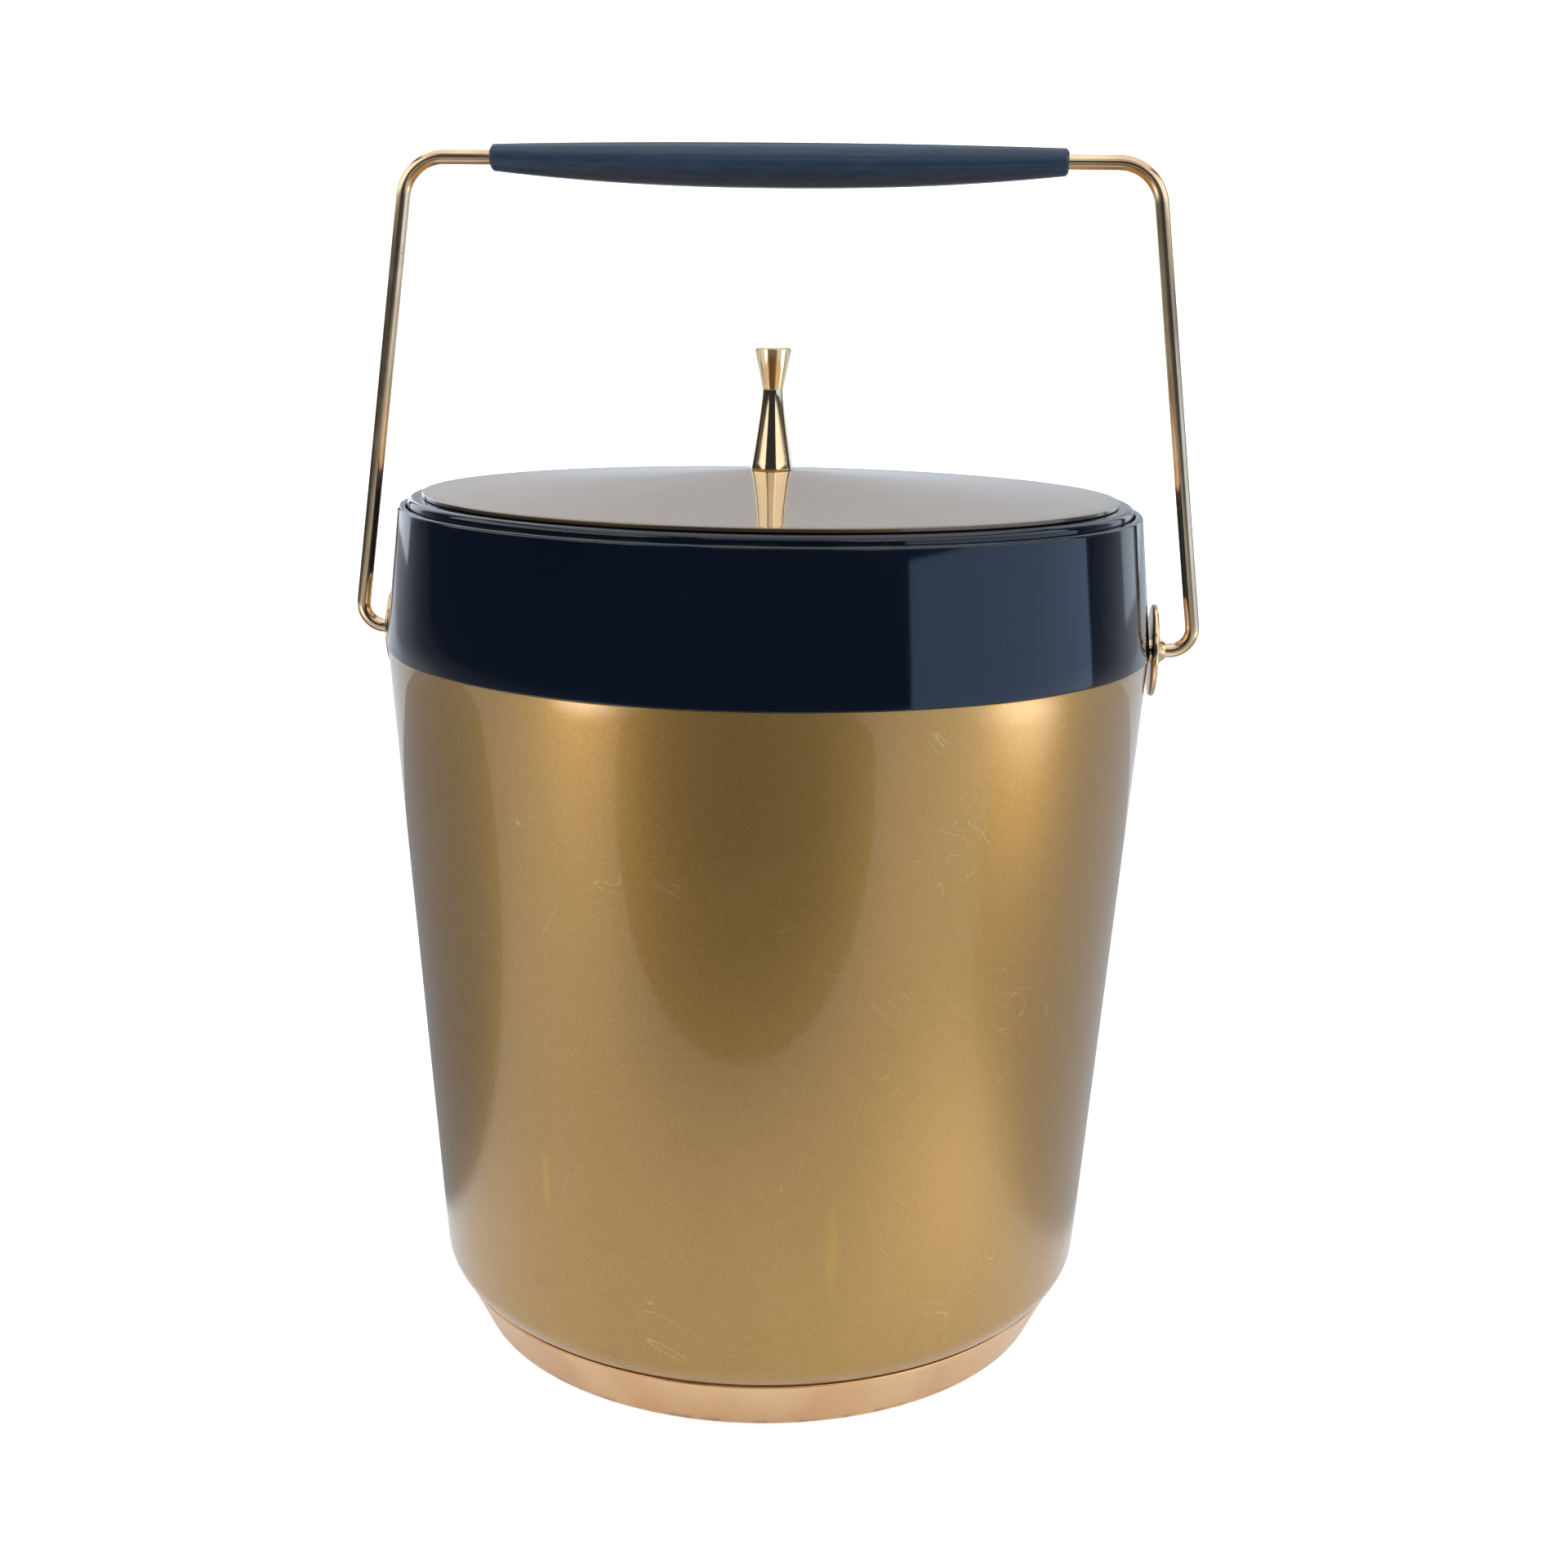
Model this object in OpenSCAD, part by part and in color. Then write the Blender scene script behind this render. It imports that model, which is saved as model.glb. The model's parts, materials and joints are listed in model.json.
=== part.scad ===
// Insulated ice bucket: a tapered metal shell on a foot ring, a moulded collar,
// a lift-off lid with a turned knob, and a wire bail with a spindle grip.
// The bail turns about the X axis. The bucket stands on Z = 0, centred on the Z axis.

/* [Foot] */
// Height of the foot ring's outer wall
foot_h = 13.3; // [10:0.1:18]
// Outer radius of the foot ring at the surface it stands on
foot_base_r = 74.2; // [70:0.1:78]
// Outer radius of the foot ring at its top edge
foot_top_r = 80.7; // [78:0.1:86]
// Wall of the foot ring
foot_wall = 1.5; // [1:0.1:2]
// Width of the hem turned in at the foot ring's lower edge
hem_w = 3.5; // [2.5:0.1:5]
// Thickness of the base plate inside the foot ring
base_t = 2.5; // [2:0.1:3.5]
// Radius of the circle that the base screws lie on
screw_circle_r = 65; // [50:1:66]
// Number of base screws
screw_count = 4; // [3:1:8]

/* [Shell] */
// Height of the shell from its floor to the seam with the collar
shell_h = 162.2; // [130:0.1:195]
// Outer radius of the shell at the seam
shell_rim_r = 94.7; // [90:0.1:114]
// Outer radius of the shell just above its rounded lower corner
shell_low_r = 83.7; // [83:0.1:90]
// Height of the shell's rounded lower corner
corner_h = 5.5; // [5:0.1:8]
// Sheet thickness of the shell
shell_wall = 1.2; // [0.8:0.1:1.5]

/* [Liner] */
// Wall of the inner bowl
liner_wall = 2; // [1.5:0.1:3]
// Least thickness of insulation under the bowl
insulation_under = 15; // [12:0.5:22]
// Radius of the bowl's lower inside corner
bowl_corner_r = 14; // [8:0.5:18]
// Draft of the bowl's side, in degrees
bowl_draft = 2.3; // [1:0.1:3]

/* [Collar] */
// Height of the collar from the seam to its rim
collar_h = 33.8; // [30:0.1:41]
// How far the collar stands proud of the shell at the seam
collar_proud = 0.3; // [0.1:0.1:1]
// How much smaller the collar is at its rim than at the seam, in radius
collar_taper = 3.6; // [2:0.1:5]
// Width of the collar's rim
rim_w = 1.8; // [1.4:0.1:2.4]
// Depth of the lid's seat below the rim
seat_depth = 4; // [3:0.1:5]
// Depth of the skirt that reaches down inside the shell
skirt_h = 14; // [12:0.5:18]

/* [Lid] */
// Gap round the lid inside the collar's rim
lid_gap = 0.5; // [0.3:0.1:1]
// How far the lid's band stands above the collar's rim
lid_proud = 2; // [0.5:0.1:3]
// Width of the moulded band that shows round the metal disc
lid_band_w = 3.5; // [2.5:0.1:6]
// Sheet thickness of the metal disc
disc_t = 1; // [0.6:0.1:1.2]
// Rise of the metal disc from its edge to the knob
disc_rise = 6; // [3:0.1:8]
// How far the lid's plug reaches down into the bowl
plug_depth = 20; // [16:0.5:24]

/* [Knob] */
// Height of the knob
knob_h = 29.5; // [24:0.5:36]
// Radius of the knob at its foot
knob_base_r = 5.35; // [5:0.05:7]
// Radius of the knob at its waist
knob_waist_r = 2.5; // [2.4:0.05:3.5]
// Radius of the knob at its top
knob_top_r = 4.6; // [3.5:0.05:6]
// Height of the waist above the knob's foot
knob_waist_h = 19.5; // [16:0.5:22]

/* [Bail] */
// Radius of the bail wire
wire_r = 1.75; // [1.5:0.05:2]
// Height of the straight top wire above the pivot axis
bail_h = 115.6; // [100:0.1:139]
// How far each arm's line stands outside the collar at the pivot axis
arm_out = 11; // [9:0.1:14]
// Inward lean of each arm, in degrees
arm_lean = 7.6; // [4:0.1:9]
// Bend radius at the arms' lower ends, on the wire's centre line
low_bend_r = 5.5; // [4:0.1:6.5]
// Bend radius at the top corners, on the wire's centre line
top_bend_r = 10.5; // [8:0.1:14]
// Height of the pivot axis above the seam
pivot_rise = 0.3; // [0:0.1:2]
// Radial clearance of the wire in its bushes
pivot_clear = 0.05; // [0.03:0.01:0.1]

/* [Grip] */
// Length of the grip
grip_len = 139; // [120:1:145]
// Radius of the grip at its ends
grip_end_r = 3.15; // [2.8:0.05:4]
// How far the grip swells above its ends' top line
grip_crown = 0.8; // [0.4:0.1:2]
// How far the grip's belly hangs below its ends' lower line
grip_belly = 3.45; // [2:0.05:6]

/* [Pivot] */
// Radius of the round plate behind each pivot
plate_r = 11.4; // [9:0.1:13]
// Thickness of that plate at its edge
plate_t = 1.4; // [1:0.1:2]
// Radius of the bush's shank
bush_r = 3; // [2.7:0.1:3.5]

/* [Hidden] */

$fn = 96;
// Clearance between pieces that are bonded or stacked
fit = 0.15;
// Looser clearance round the foam pieces
foam_gap = 0.3;
// Further room between the foam and the collar's skirt
skirt_room = 0.9;
// Bevel on the lower edge of the lid's foam
foam_bevel = 1.5;
// Overlap that lets one cut pass cleanly through another solid
cut = 1;

// Foot and base
foot_gap = 0.7;
floor_z = foot_h + foot_gap;
neck_in = 1.6;
foot_edge = 0.5;
flange_t = 1.5;
flange_lip = 5;
flange_in_r = screw_circle_r - flange_lip;
hem_t = 1.2;
base_gap = 0.5;
base_r = foot_base_r - hem_w - base_gap;
base_top_z = floor_z - flange_t;
base_low_z = base_top_z - base_t;

// M4 hardware
screw_r = 2;
screw_hole_r = 2.15;
head_r = 3.75;
head_h = 2.4;
head_edge_h = 0.8;
head_edge_w = 0.6;
slot_w = 1;
slot_len = 4.2;
slot_deep = 1.2;
nut_flats = 7;
nut_h = 3.2;
thread_gap = 0.05;
screw_spare = 0.8;
nut_pocket_r = 5;
nut_room = 2;

// Shell outline
edge_r = 1.6;
corner_turn = 47;
seam_z = floor_z + shell_h;
shell_tilt = atan((shell_rim_r - shell_low_r) / (shell_h - corner_h));
edge_drop = edge_r * (1 - sin(corner_turn));
corner_r = (corner_h - edge_drop) / (sin(corner_turn) - sin(shell_tilt));
corner_c = [shell_low_r - corner_r * cos(shell_tilt), floor_z + corner_h + corner_r * sin(shell_tilt)];
edge_c = corner_c + (corner_r - edge_r) * [cos(corner_turn), -sin(corner_turn)];

// Collar
collar_r = shell_rim_r + collar_proud;
rim_z = seam_z + collar_h;
rim_r = collar_r - collar_taper;
rim_in_r = rim_r - rim_w;
rim_round = 0.7;
rim_chamfer = 0.3;
seat_z = rim_z - seat_depth;
ledge_w = 5;
ledge_t = 2.5;
ledge_in_r = rim_in_r - ledge_w;
collar_wall = 2.5;
skirt_z = seam_z - skirt_h;
skirt_wall = 2.2;

// Inner bowl
liner_flange_t = 1.5;
liner_gap = 0.55;
mouth_r = ledge_in_r - liner_wall - liner_gap;
bowl_floor_z = floor_z + shell_wall + insulation_under + liner_wall;
lid_seat_z = seat_z + liner_flange_t;
// The bowl's side leans in further than its draft where the shell narrows more towards the floor
foam_side = 3;
bowl_limit_r = shell_side_r(bowl_floor_z) - shell_wall - liner_wall - 2 * foam_gap - foam_side;
bowl_tilt = max(bowl_draft, atan((mouth_r - bowl_limit_r) / (lid_seat_z - bowl_floor_z)));
bowl_low_r = mouth_r - (lid_seat_z - bowl_floor_z) * tan(bowl_tilt);

// Pivot
pivot_z = seam_z + pivot_rise;
plate_gap = 0.05;
plate_x = collar_r + plate_gap;
plate_dome = 0.6;
boss_r = 9;
boss_h = 2.7;
boss_in = 6.5;
boss_x = collar_r - boss_in;
pivot_nut_t = 2.2;
pivot_nut_flats = 9;
bush_nose = 1.8;
bush_nose_r = 4.2;
bush_lip = 0.6;
bush_tip_r = wire_r + bush_lip;
bush_spare = 0.3;
bush_in_x = boss_x - pivot_nut_t - bush_spare;
flare_steps = 5;
flare_power = 1.8;
bush_bore_r = wire_r + pivot_clear;
bush_gap = 0.05;
pocket_w = 26;
pocket_low = 13;
pocket_high = 13.5;

// Bail
arm_x = collar_r + arm_out;
clip_t = 0.8;
clip_r = 3.2;
clip_play = 0.3;
clip_x = bush_in_x - clip_play;
groove_deep = 0.3;
groove_side = 0.05;
pin_spare = 0.9;
pin_end_x = clip_x - clip_t - pin_spare;
low_bend_x = (arm_x * cos(arm_lean) - low_bend_r * (1 + sin(arm_lean))) / cos(arm_lean);
top_bend_z = bail_h - top_bend_r;
top_bend_x = (arm_x * cos(arm_lean) - top_bend_r - top_bend_z * sin(arm_lean)) / cos(arm_lean);
// The wire thins a little where it is bent, and each straight reaches into its bends
bend_thinning = 0.01;
bend_lap = 0.05;
grip_slices = 12;
grip_slice_t = 0.02;
grip_swell_power = 2.2;
grip_chamfer = 0.6;
grip_bore_gap = 0.05;

// Lid
lid_r = rim_in_r - lid_gap;
lid_seat_gap = 0.05;
lid_low_z = lid_seat_z + lid_seat_gap;
lid_top_z = rim_z + lid_proud;
lid_round = 1.6;
lid_plate_t = 2;
plug_gap = 1.5;
plug_r = mouth_r - plug_gap - plug_depth * (tan(bowl_tilt) - tan(bowl_draft));
plug_wall = 2;
plug_low_z = lid_low_z - plug_depth;
plug_overlap = 8;
under_wall = 1.8;
under_r = plug_r - plug_wall - fit;
disc_r = lid_r - lid_band_w;
disc_z = lid_top_z + fit;
disc_steps = 16;
disc_flare = 1.2;
disc_land_r = knob_base_r + 0.3;
knob_z = disc_top(disc_land_r);
boss_top_r = 7;
lid_screw_len = 9;
lid_screw_spare = 1;
washer_r = 4.5;
washer_t = 0.8;
washer_room = 1.5;
screw_head_z = lid_top_z - lid_plate_t - washer_t;
under_round = 3;

// Knob
knob_steps = 10;
knob_cone_power = 1.25;
knob_edge = 0.6;

// Points along an arc about c from angle a to angle b
function arc(c, r, a, b, n = 8) =
    [for (i = [0:n]) c + r * [cos(a + (b - a) * i / n), sin(a + (b - a) * i / n)]];

// Outline of the shell from its axis out and up to the seam, moved inward by inset
function shell_line(inset, top_z) = concat(
    [[0, floor_z + inset]],
    arc(edge_c, edge_r - inset, -90, -corner_turn, 4),
    arc(corner_c, corner_r - inset, -corner_turn, -shell_tilt),
    [[shell_side_r(top_z) - inset / cos(shell_tilt), top_z]]);

// Outer radius of the shell's straight side at a height
function shell_side_r(z) = shell_low_r + (z - floor_z - corner_h) * tan(shell_tilt);

// Outer radius of the foot ring and of the collar at a height
function foot_r(z) = foot_base_r + (foot_top_r - foot_base_r) * z / foot_h;
function collar_side_r(z) = collar_r - collar_taper * (z - seam_z) / collar_h;

// Outline of the bowl's inside moved outward by out, from its axis out and up to top_z
function bowl_line(out, top_z) =
    let (c = [bowl_low_r + bowl_corner_r * (tan(bowl_tilt) - 1 / cos(bowl_tilt)),
        bowl_floor_z + bowl_corner_r])
    concat([[0, bowl_floor_z - out]],
        arc(c, bowl_corner_r + out, -90, -bowl_tilt),
        [[mouth_r - (lid_seat_z - top_z) * tan(bowl_tilt) + out / cos(bowl_tilt), top_z]]);

// Height of the lid disc's top face at radius r: a flared rise to a flat land under the knob
function disc_top(r) = disc_z + disc_t + disc_rise * pow(1 - max(r, disc_land_r) / disc_r, disc_flare);

function reversed(points) = [for (i = [len(points) - 1:-1:0]) points[i]];

// A hollow turned piece between an outer outline and an inner outline
module turned(outer, inner = []) {
    rotate_extrude() polygon(concat(outer, reversed(inner)));
}

// Turns a shape modelled along +Z to lie along the pivot axis, outward on one side
module on_pivot(side, x) {
    translate([side * x, 0, pivot_z]) rotate([0, side * 90, 0]) children();
}

module at_base_screws() {
    for (i = [0:screw_count - 1])
        rotate([0, 0, 360 * (i + 0.5) / screw_count]) translate([screw_circle_r, 0, 0]) children();
}

// A pan-head cross-slot screw whose head hangs below Z = 0
module screw(length) {
    difference() {
        union() {
            cylinder(r = screw_r, h = length);
            translate([0, 0, -head_h])
                cylinder(r1 = head_r - head_edge_w, r2 = head_r, h = head_edge_h);
            translate([0, 0, head_edge_h - head_h]) cylinder(r = head_r, h = head_h - head_edge_h);
        }
        for (turn = [0, 90])
            rotate([0, 0, turn]) translate([-slot_len / 2, -slot_w / 2, -head_h - cut])
                cube([slot_len, slot_w, slot_deep + cut]);
    }
}

module hex_nut(flats, height, bore_r) {
    difference() {
        cylinder(r = flats / 2 / cos(30), h = height, $fn = 6);
        translate([0, 0, -cut]) cylinder(r = bore_r, h = height + 2 * cut);
    }
}

module foot_ring() {
    color("#cfa06d") difference() {
        turned([
            [foot_base_r - hem_w, 0], [foot_base_r, 0],
            [foot_top_r, foot_h - foot_edge], [foot_top_r - foot_edge, foot_h],
            [foot_top_r - neck_in, foot_h], [foot_top_r - neck_in, floor_z],
            [flange_in_r, floor_z], [flange_in_r, base_top_z],
            [foot_r(base_top_z) - foot_wall, base_top_z],
            [foot_r(hem_t) - foot_wall, hem_t], [foot_base_r - hem_w, hem_t]]);
        at_base_screws() cylinder(r = screw_hole_r, h = floor_z + cut);
    }
}

module base_plate() {
    color("#1c2430") difference() {
        translate([0, 0, base_low_z]) cylinder(r = base_r, h = base_t);
        at_base_screws() translate([0, 0, base_low_z - cut]) cylinder(r = screw_hole_r, h = base_t + 2 * cut);
    }
}

module base_screws() {
    length = base_t + flange_t + shell_wall + nut_h + screw_spare;
    color("silver") at_base_screws() translate([0, 0, base_low_z]) screw(length);
}

module base_nuts() {
    color("silver") at_base_screws() translate([0, 0, floor_z + shell_wall])
        hex_nut(nut_flats, nut_h, screw_r + thread_gap);
}

module outer_shell() {
    color("#a9824f") difference() {
        turned(shell_line(0, seam_z), shell_line(shell_wall, seam_z));
        at_base_screws() cylinder(r = screw_hole_r, h = floor_z + shell_wall + cut);
        for (side = [-1, 1]) on_pivot(side, boss_x) cylinder(r = bush_r + bush_gap, h = collar_r);
    }
}

module insulation_jacket() {
    top_z = seat_z - ledge_t - foam_gap;
    skirt_in_r = min(shell_side_r(seam_z) - skirt_room - 2 * foam_gap,
        shell_side_r(skirt_z) - fit - foam_gap) - shell_wall - skirt_wall;
    outer = concat(
        shell_line(shell_wall + foam_gap, skirt_z - foam_gap),
        [[skirt_in_r, skirt_z - foam_gap], [skirt_in_r, seam_z],
            [collar_side_r(top_z) - collar_wall - 2 * foam_gap, top_z]]);
    color("ivory") difference() {
        turned(outer, bowl_line(liner_wall + foam_gap, top_z));
        at_base_screws() cylinder(r = nut_pocket_r, h = floor_z + shell_wall + nut_h + nut_room);
        for (side = [-1, 1])
            translate([side * collar_r - collar_r / 4, -pocket_w / 2, pivot_z - pocket_low])
                cube([collar_r / 2, pocket_w, pocket_low + pocket_high]);
    }
}

module inner_liner() {
    flange_r = rim_in_r - fit;
    color("whitesmoke") turned(
        concat(bowl_line(liner_wall, seat_z), [[flange_r, seat_z], [flange_r, lid_seat_z]]),
        bowl_line(0, lid_seat_z));
}

module collar() {
    skirt_top_r = shell_side_r(seam_z) - shell_wall - fit;
    skirt_low_r = shell_side_r(skirt_z) - shell_wall - fit;
    ledge_low_z = seat_z - ledge_t;
    color("#16202e") difference() {
        union() {
            turned(concat(
                [[skirt_low_r, skirt_z], [skirt_top_r, seam_z], [collar_r, seam_z]],
                arc([rim_r - rim_round, rim_z - rim_round], rim_round, 0, 90, 6),
                [[rim_in_r + rim_chamfer, rim_z], [rim_in_r, rim_z - rim_chamfer], [rim_in_r, seat_z],
                    [ledge_in_r, seat_z], [ledge_in_r, ledge_low_z],
                    [collar_side_r(ledge_low_z) - collar_wall, ledge_low_z],
                    [skirt_top_r - skirt_wall, seam_z], [skirt_low_r - skirt_wall, skirt_z]]));
            for (side = [-1, 1]) on_pivot(side, boss_x) cylinder(r = boss_r, h = boss_h);
        }
        for (side = [-1, 1])
            on_pivot(side, boss_x - cut) cylinder(r = bush_r + bush_gap, h = collar_r);
    }
}

// Slightly domed round plate that lies against the collar and shell at the pivot
module pivot_plate(side) {
    half = plate_t / 2;
    color("goldenrod") on_pivot(side, plate_x) rotate_extrude()
        polygon(concat(
            [[bush_r + bush_gap, 0]],
            arc([plate_r - half, half], half, -90, 90),
            [[plate_r / 2 + bush_nose_r / 2, plate_t + plate_dome * 0.75],
                [bush_nose_r, plate_t + plate_dome], [bush_r + bush_gap, plate_t + plate_dome]]));
}

// Shouldered bush: its flared nose clamps the plate, its shank passes the walls
module pivot_bush(side) {
    seat = plate_t + plate_dome;
    flare = bush_nose_r - bush_tip_r;
    color("goldenrod") on_pivot(side, plate_x) rotate_extrude()
        polygon(concat(
            [[bush_bore_r, bush_in_x - plate_x], [bush_r, bush_in_x - plate_x], [bush_r, seat],
                [bush_nose_r, seat]],
            [for (i = [1:flare_steps]) let (t = i / flare_steps)
                [bush_tip_r + flare * pow(1 - t, flare_power), seat + bush_nose * t]],
            [[bush_bore_r, seat + bush_nose]]));
}

module pivot_nut(side) {
    color("silver") on_pivot(side, boss_x - pivot_nut_t)
        hex_nut(pivot_nut_flats, pivot_nut_t, bush_r + thread_gap);
}

// One side of the bail: pin, lower bend, arm and top bend
module bail_side(side) {
    low_end = [low_bend_x, low_bend_r] + low_bend_r * [cos(arm_lean), sin(arm_lean)];
    top_start = [top_bend_x, top_bend_z] + top_bend_r * [cos(arm_lean), sin(arm_lean)];
    mirror([side < 0 ? 1 : 0, 0, 0]) translate([0, 0, pivot_z]) {
        translate([pin_end_x, 0, 0]) rotate([0, 90, 0]) straight_wire(low_bend_x - pin_end_x, 0);
        translate([low_bend_x, 0, low_bend_r]) wire_bend(low_bend_r, -90, 90 + arm_lean);
        translate([low_end[0], 0, low_end[1]]) rotate([0, -arm_lean, 0])
            straight_wire(norm(top_start - low_end), bend_lap);
        translate([top_bend_x, 0, top_bend_z]) wire_bend(top_bend_r, arm_lean, 90 - arm_lean);
    }
}

// Straight wire from the origin up, reaching into the bend at its top and, by lap, at its foot
module straight_wire(length, lap) {
    translate([0, 0, -lap]) cylinder(r = wire_r, h = length + lap + bend_lap);
}

// Wire bent in the XZ plane round the origin, from angle a through turn degrees
module wire_bend(bend_r, a, turn) {
    rotate([90, 0, 0]) rotate([0, 0, a]) rotate_extrude(angle = turn)
        translate([bend_r, 0]) circle(r = wire_r - bend_thinning);
}

module bail_wire() {
    color("gold") difference() {
        union() {
            for (side = [-1, 1]) bail_side(side);
            translate([-top_bend_x, 0, pivot_z + bail_h]) rotate([0, 90, 0])
                straight_wire(2 * top_bend_x, bend_lap);
        }
        for (side = [-1, 1])
            on_pivot(side, clip_x - clip_t - groove_side) difference() {
                cylinder(r = wire_r + cut, h = clip_t + 2 * groove_side);
                translate([0, 0, -cut]) cylinder(r = wire_r - groove_deep, h = clip_t + 3 * cut);
            }
    }
}

module bail_clips() {
    color("silver") for (side = [-1, 1])
        on_pivot(side, clip_x - clip_t) difference() {
            cylinder(r = clip_r, h = clip_t);
            translate([0, 0, -cut]) cylinder(r = wire_r - groove_deep + groove_side, h = clip_t + 2 * cut);
        }
}

// Round section of the grip at t, from -1 at one end to 1 at the other
module grip_section(t, inset = 0) {
    swell = 1 - pow(abs(t), grip_swell_power);
    top = grip_end_r + grip_crown * swell;
    low = grip_end_r + grip_belly * swell;
    translate([t * grip_len / 2, 0, (top - low) / 2]) rotate([0, 90, 0])
        cylinder(r = (top + low) / 2 - inset, h = grip_slice_t, center = true, $fn = 36);
}

module grip() {
    inner = 1 - 2 * grip_chamfer / grip_len;
    color("#1f2a3a") translate([0, 0, pivot_z + bail_h]) difference() {
        hull() {
            for (end = [-1, 1]) grip_section(end, grip_chamfer);
            for (i = [0:grip_slices]) grip_section(inner * (2 * i / grip_slices - 1));
        }
        rotate([0, 90, 0]) cylinder(r = wire_r + grip_bore_gap, h = 2 * grip_len, center = true);
    }
}

// Moulded top frame of the lid: band, carrier plate, centre boss and plug wall
module lid_frame() {
    plate_low_z = lid_top_z - lid_plate_t;
    wall_low_z = lid_low_z - plug_overlap;
    boss_z = disc_top(boss_top_r) - disc_t - fit;
    color("#16202e") difference() {
        union() {
            turned(concat(
                [[0, plate_low_z], [plug_r - plug_wall, plate_low_z], [plug_r - plug_wall, wall_low_z],
                    [plug_r, wall_low_z], [plug_r, lid_low_z], [lid_r, lid_low_z]],
                arc([lid_r - lid_round, lid_top_z - lid_round], lid_round, 0, 90, 6),
                [[0, lid_top_z]]));
            translate([0, 0, plate_low_z]) cylinder(r = boss_top_r, h = boss_z - plate_low_z);
        }
        translate([0, 0, plate_low_z - cut]) cylinder(r = screw_hole_r, h = boss_z);
    }
}

module lid_disc() {
    radii = concat([for (i = [0:disc_steps]) disc_r - (disc_r - disc_land_r) * i / disc_steps],
        [screw_hole_r]);
    color("#b9a88c") turned(
        concat([[disc_r, disc_z]], [for (r = radii) [r, disc_top(r)]]),
        [for (i = [1:disc_steps + 1]) [radii[i], disc_top(radii[i]) - disc_t]]);
}

module lid_insulation() {
    low_z = plug_low_z + under_wall + foam_gap;
    foam_r = under_r - under_wall - foam_gap;
    color("ivory") difference() {
        translate([0, 0, low_z]) union() {
            cylinder(r1 = foam_r - foam_bevel, r2 = foam_r, h = foam_bevel);
            translate([0, 0, foam_bevel])
                cylinder(r = foam_r, h = lid_top_z - lid_plate_t - foam_gap - low_z - foam_bevel);
        }
        translate([0, 0, low_z + cut]) cylinder(r = washer_r + washer_room, h = plug_depth + seat_depth);
    }
}

module lid_underside() {
    top_z = lid_top_z - lid_plate_t - fit;
    color("whitesmoke") turned(
        concat([[0, plug_low_z]],
            arc([under_r - under_round, plug_low_z + under_round], under_round, -90, 0, 6),
            [[under_r, top_z]]),
        concat([[0, plug_low_z + under_wall]],
            arc([under_r - under_round, plug_low_z + under_round], under_round - under_wall, -90, 0, 6),
            [[under_r - under_wall, top_z]]));
}

// Turned knob: a long concave lower cone that meets a short upper cone at the waist
module knob() {
    lower = knob_base_r - knob_waist_r;
    color("gold") translate([0, 0, knob_z]) difference() {
        rotate_extrude() polygon(concat(
            [[0, 0]],
            [for (i = [0:knob_steps]) let (t = i / knob_steps)
                [knob_waist_r + lower * pow(1 - t, knob_cone_power), knob_waist_h * t]],
            arc([knob_top_r - knob_edge, knob_h - knob_edge], knob_edge, 0, 90, 4),
            [[0, knob_h]]));
        translate([0, 0, -cut]) cylinder(r = screw_r + thread_gap, h = lid_screw_len + cut);
    }
}

module lid_screw() {
    length = knob_z - screw_head_z + lid_screw_len - lid_screw_spare;
    color("silver") translate([0, 0, screw_head_z]) screw(length);
}

module lid_washer() {
    color("silver") translate([0, 0, screw_head_z]) difference() {
        cylinder(r = washer_r, h = washer_t);
        translate([0, 0, -cut]) cylinder(r = screw_hole_r, h = washer_t + 2 * cut);
    }
}

foot_ring();
base_plate();
base_screws();
base_nuts();
outer_shell();
insulation_jacket();
inner_liner();
collar();
pivot_plate(-1);  // pivot_plate_left
pivot_plate(1);  // pivot_plate_right
pivot_bush(-1);  // pivot_bush_left
pivot_bush(1);  // pivot_bush_right
pivot_nut(-1);  // pivot_nut_left
pivot_nut(1);  // pivot_nut_right
bail_wire();
grip();
bail_clips();
lid_frame();
lid_disc();
lid_insulation();
lid_underside();
knob();
lid_screw();
lid_washer();
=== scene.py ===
"""Looks of an insulated ice bucket: lacquered gold shell, navy collar and lid, brass bail and knob.

The bucket's sizes are in millimetres and are turned into metres by MM; the studio's are in metres. The
bucket stands on Z = 0 round the Z axis, and its bail turns about the X axis through the pivots.
"""
import json
import math

import bmesh
import bpy
from mathutils import Matrix, Vector

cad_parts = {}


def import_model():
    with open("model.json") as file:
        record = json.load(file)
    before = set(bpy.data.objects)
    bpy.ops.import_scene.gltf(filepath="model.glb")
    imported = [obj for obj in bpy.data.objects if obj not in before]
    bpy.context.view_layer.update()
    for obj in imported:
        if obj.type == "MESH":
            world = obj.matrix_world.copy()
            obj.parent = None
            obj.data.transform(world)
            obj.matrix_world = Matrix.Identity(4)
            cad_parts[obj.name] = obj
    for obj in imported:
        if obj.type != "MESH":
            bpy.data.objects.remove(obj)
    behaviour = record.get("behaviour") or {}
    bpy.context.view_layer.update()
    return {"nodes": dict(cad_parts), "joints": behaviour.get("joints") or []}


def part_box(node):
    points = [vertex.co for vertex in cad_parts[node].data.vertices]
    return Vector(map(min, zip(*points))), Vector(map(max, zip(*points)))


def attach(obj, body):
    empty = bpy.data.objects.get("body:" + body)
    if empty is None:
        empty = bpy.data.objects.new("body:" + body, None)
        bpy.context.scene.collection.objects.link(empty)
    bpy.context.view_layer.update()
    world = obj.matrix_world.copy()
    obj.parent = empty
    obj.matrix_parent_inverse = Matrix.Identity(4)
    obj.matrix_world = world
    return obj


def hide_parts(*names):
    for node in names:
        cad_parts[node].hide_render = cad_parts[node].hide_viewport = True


MM = 0.001
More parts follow.
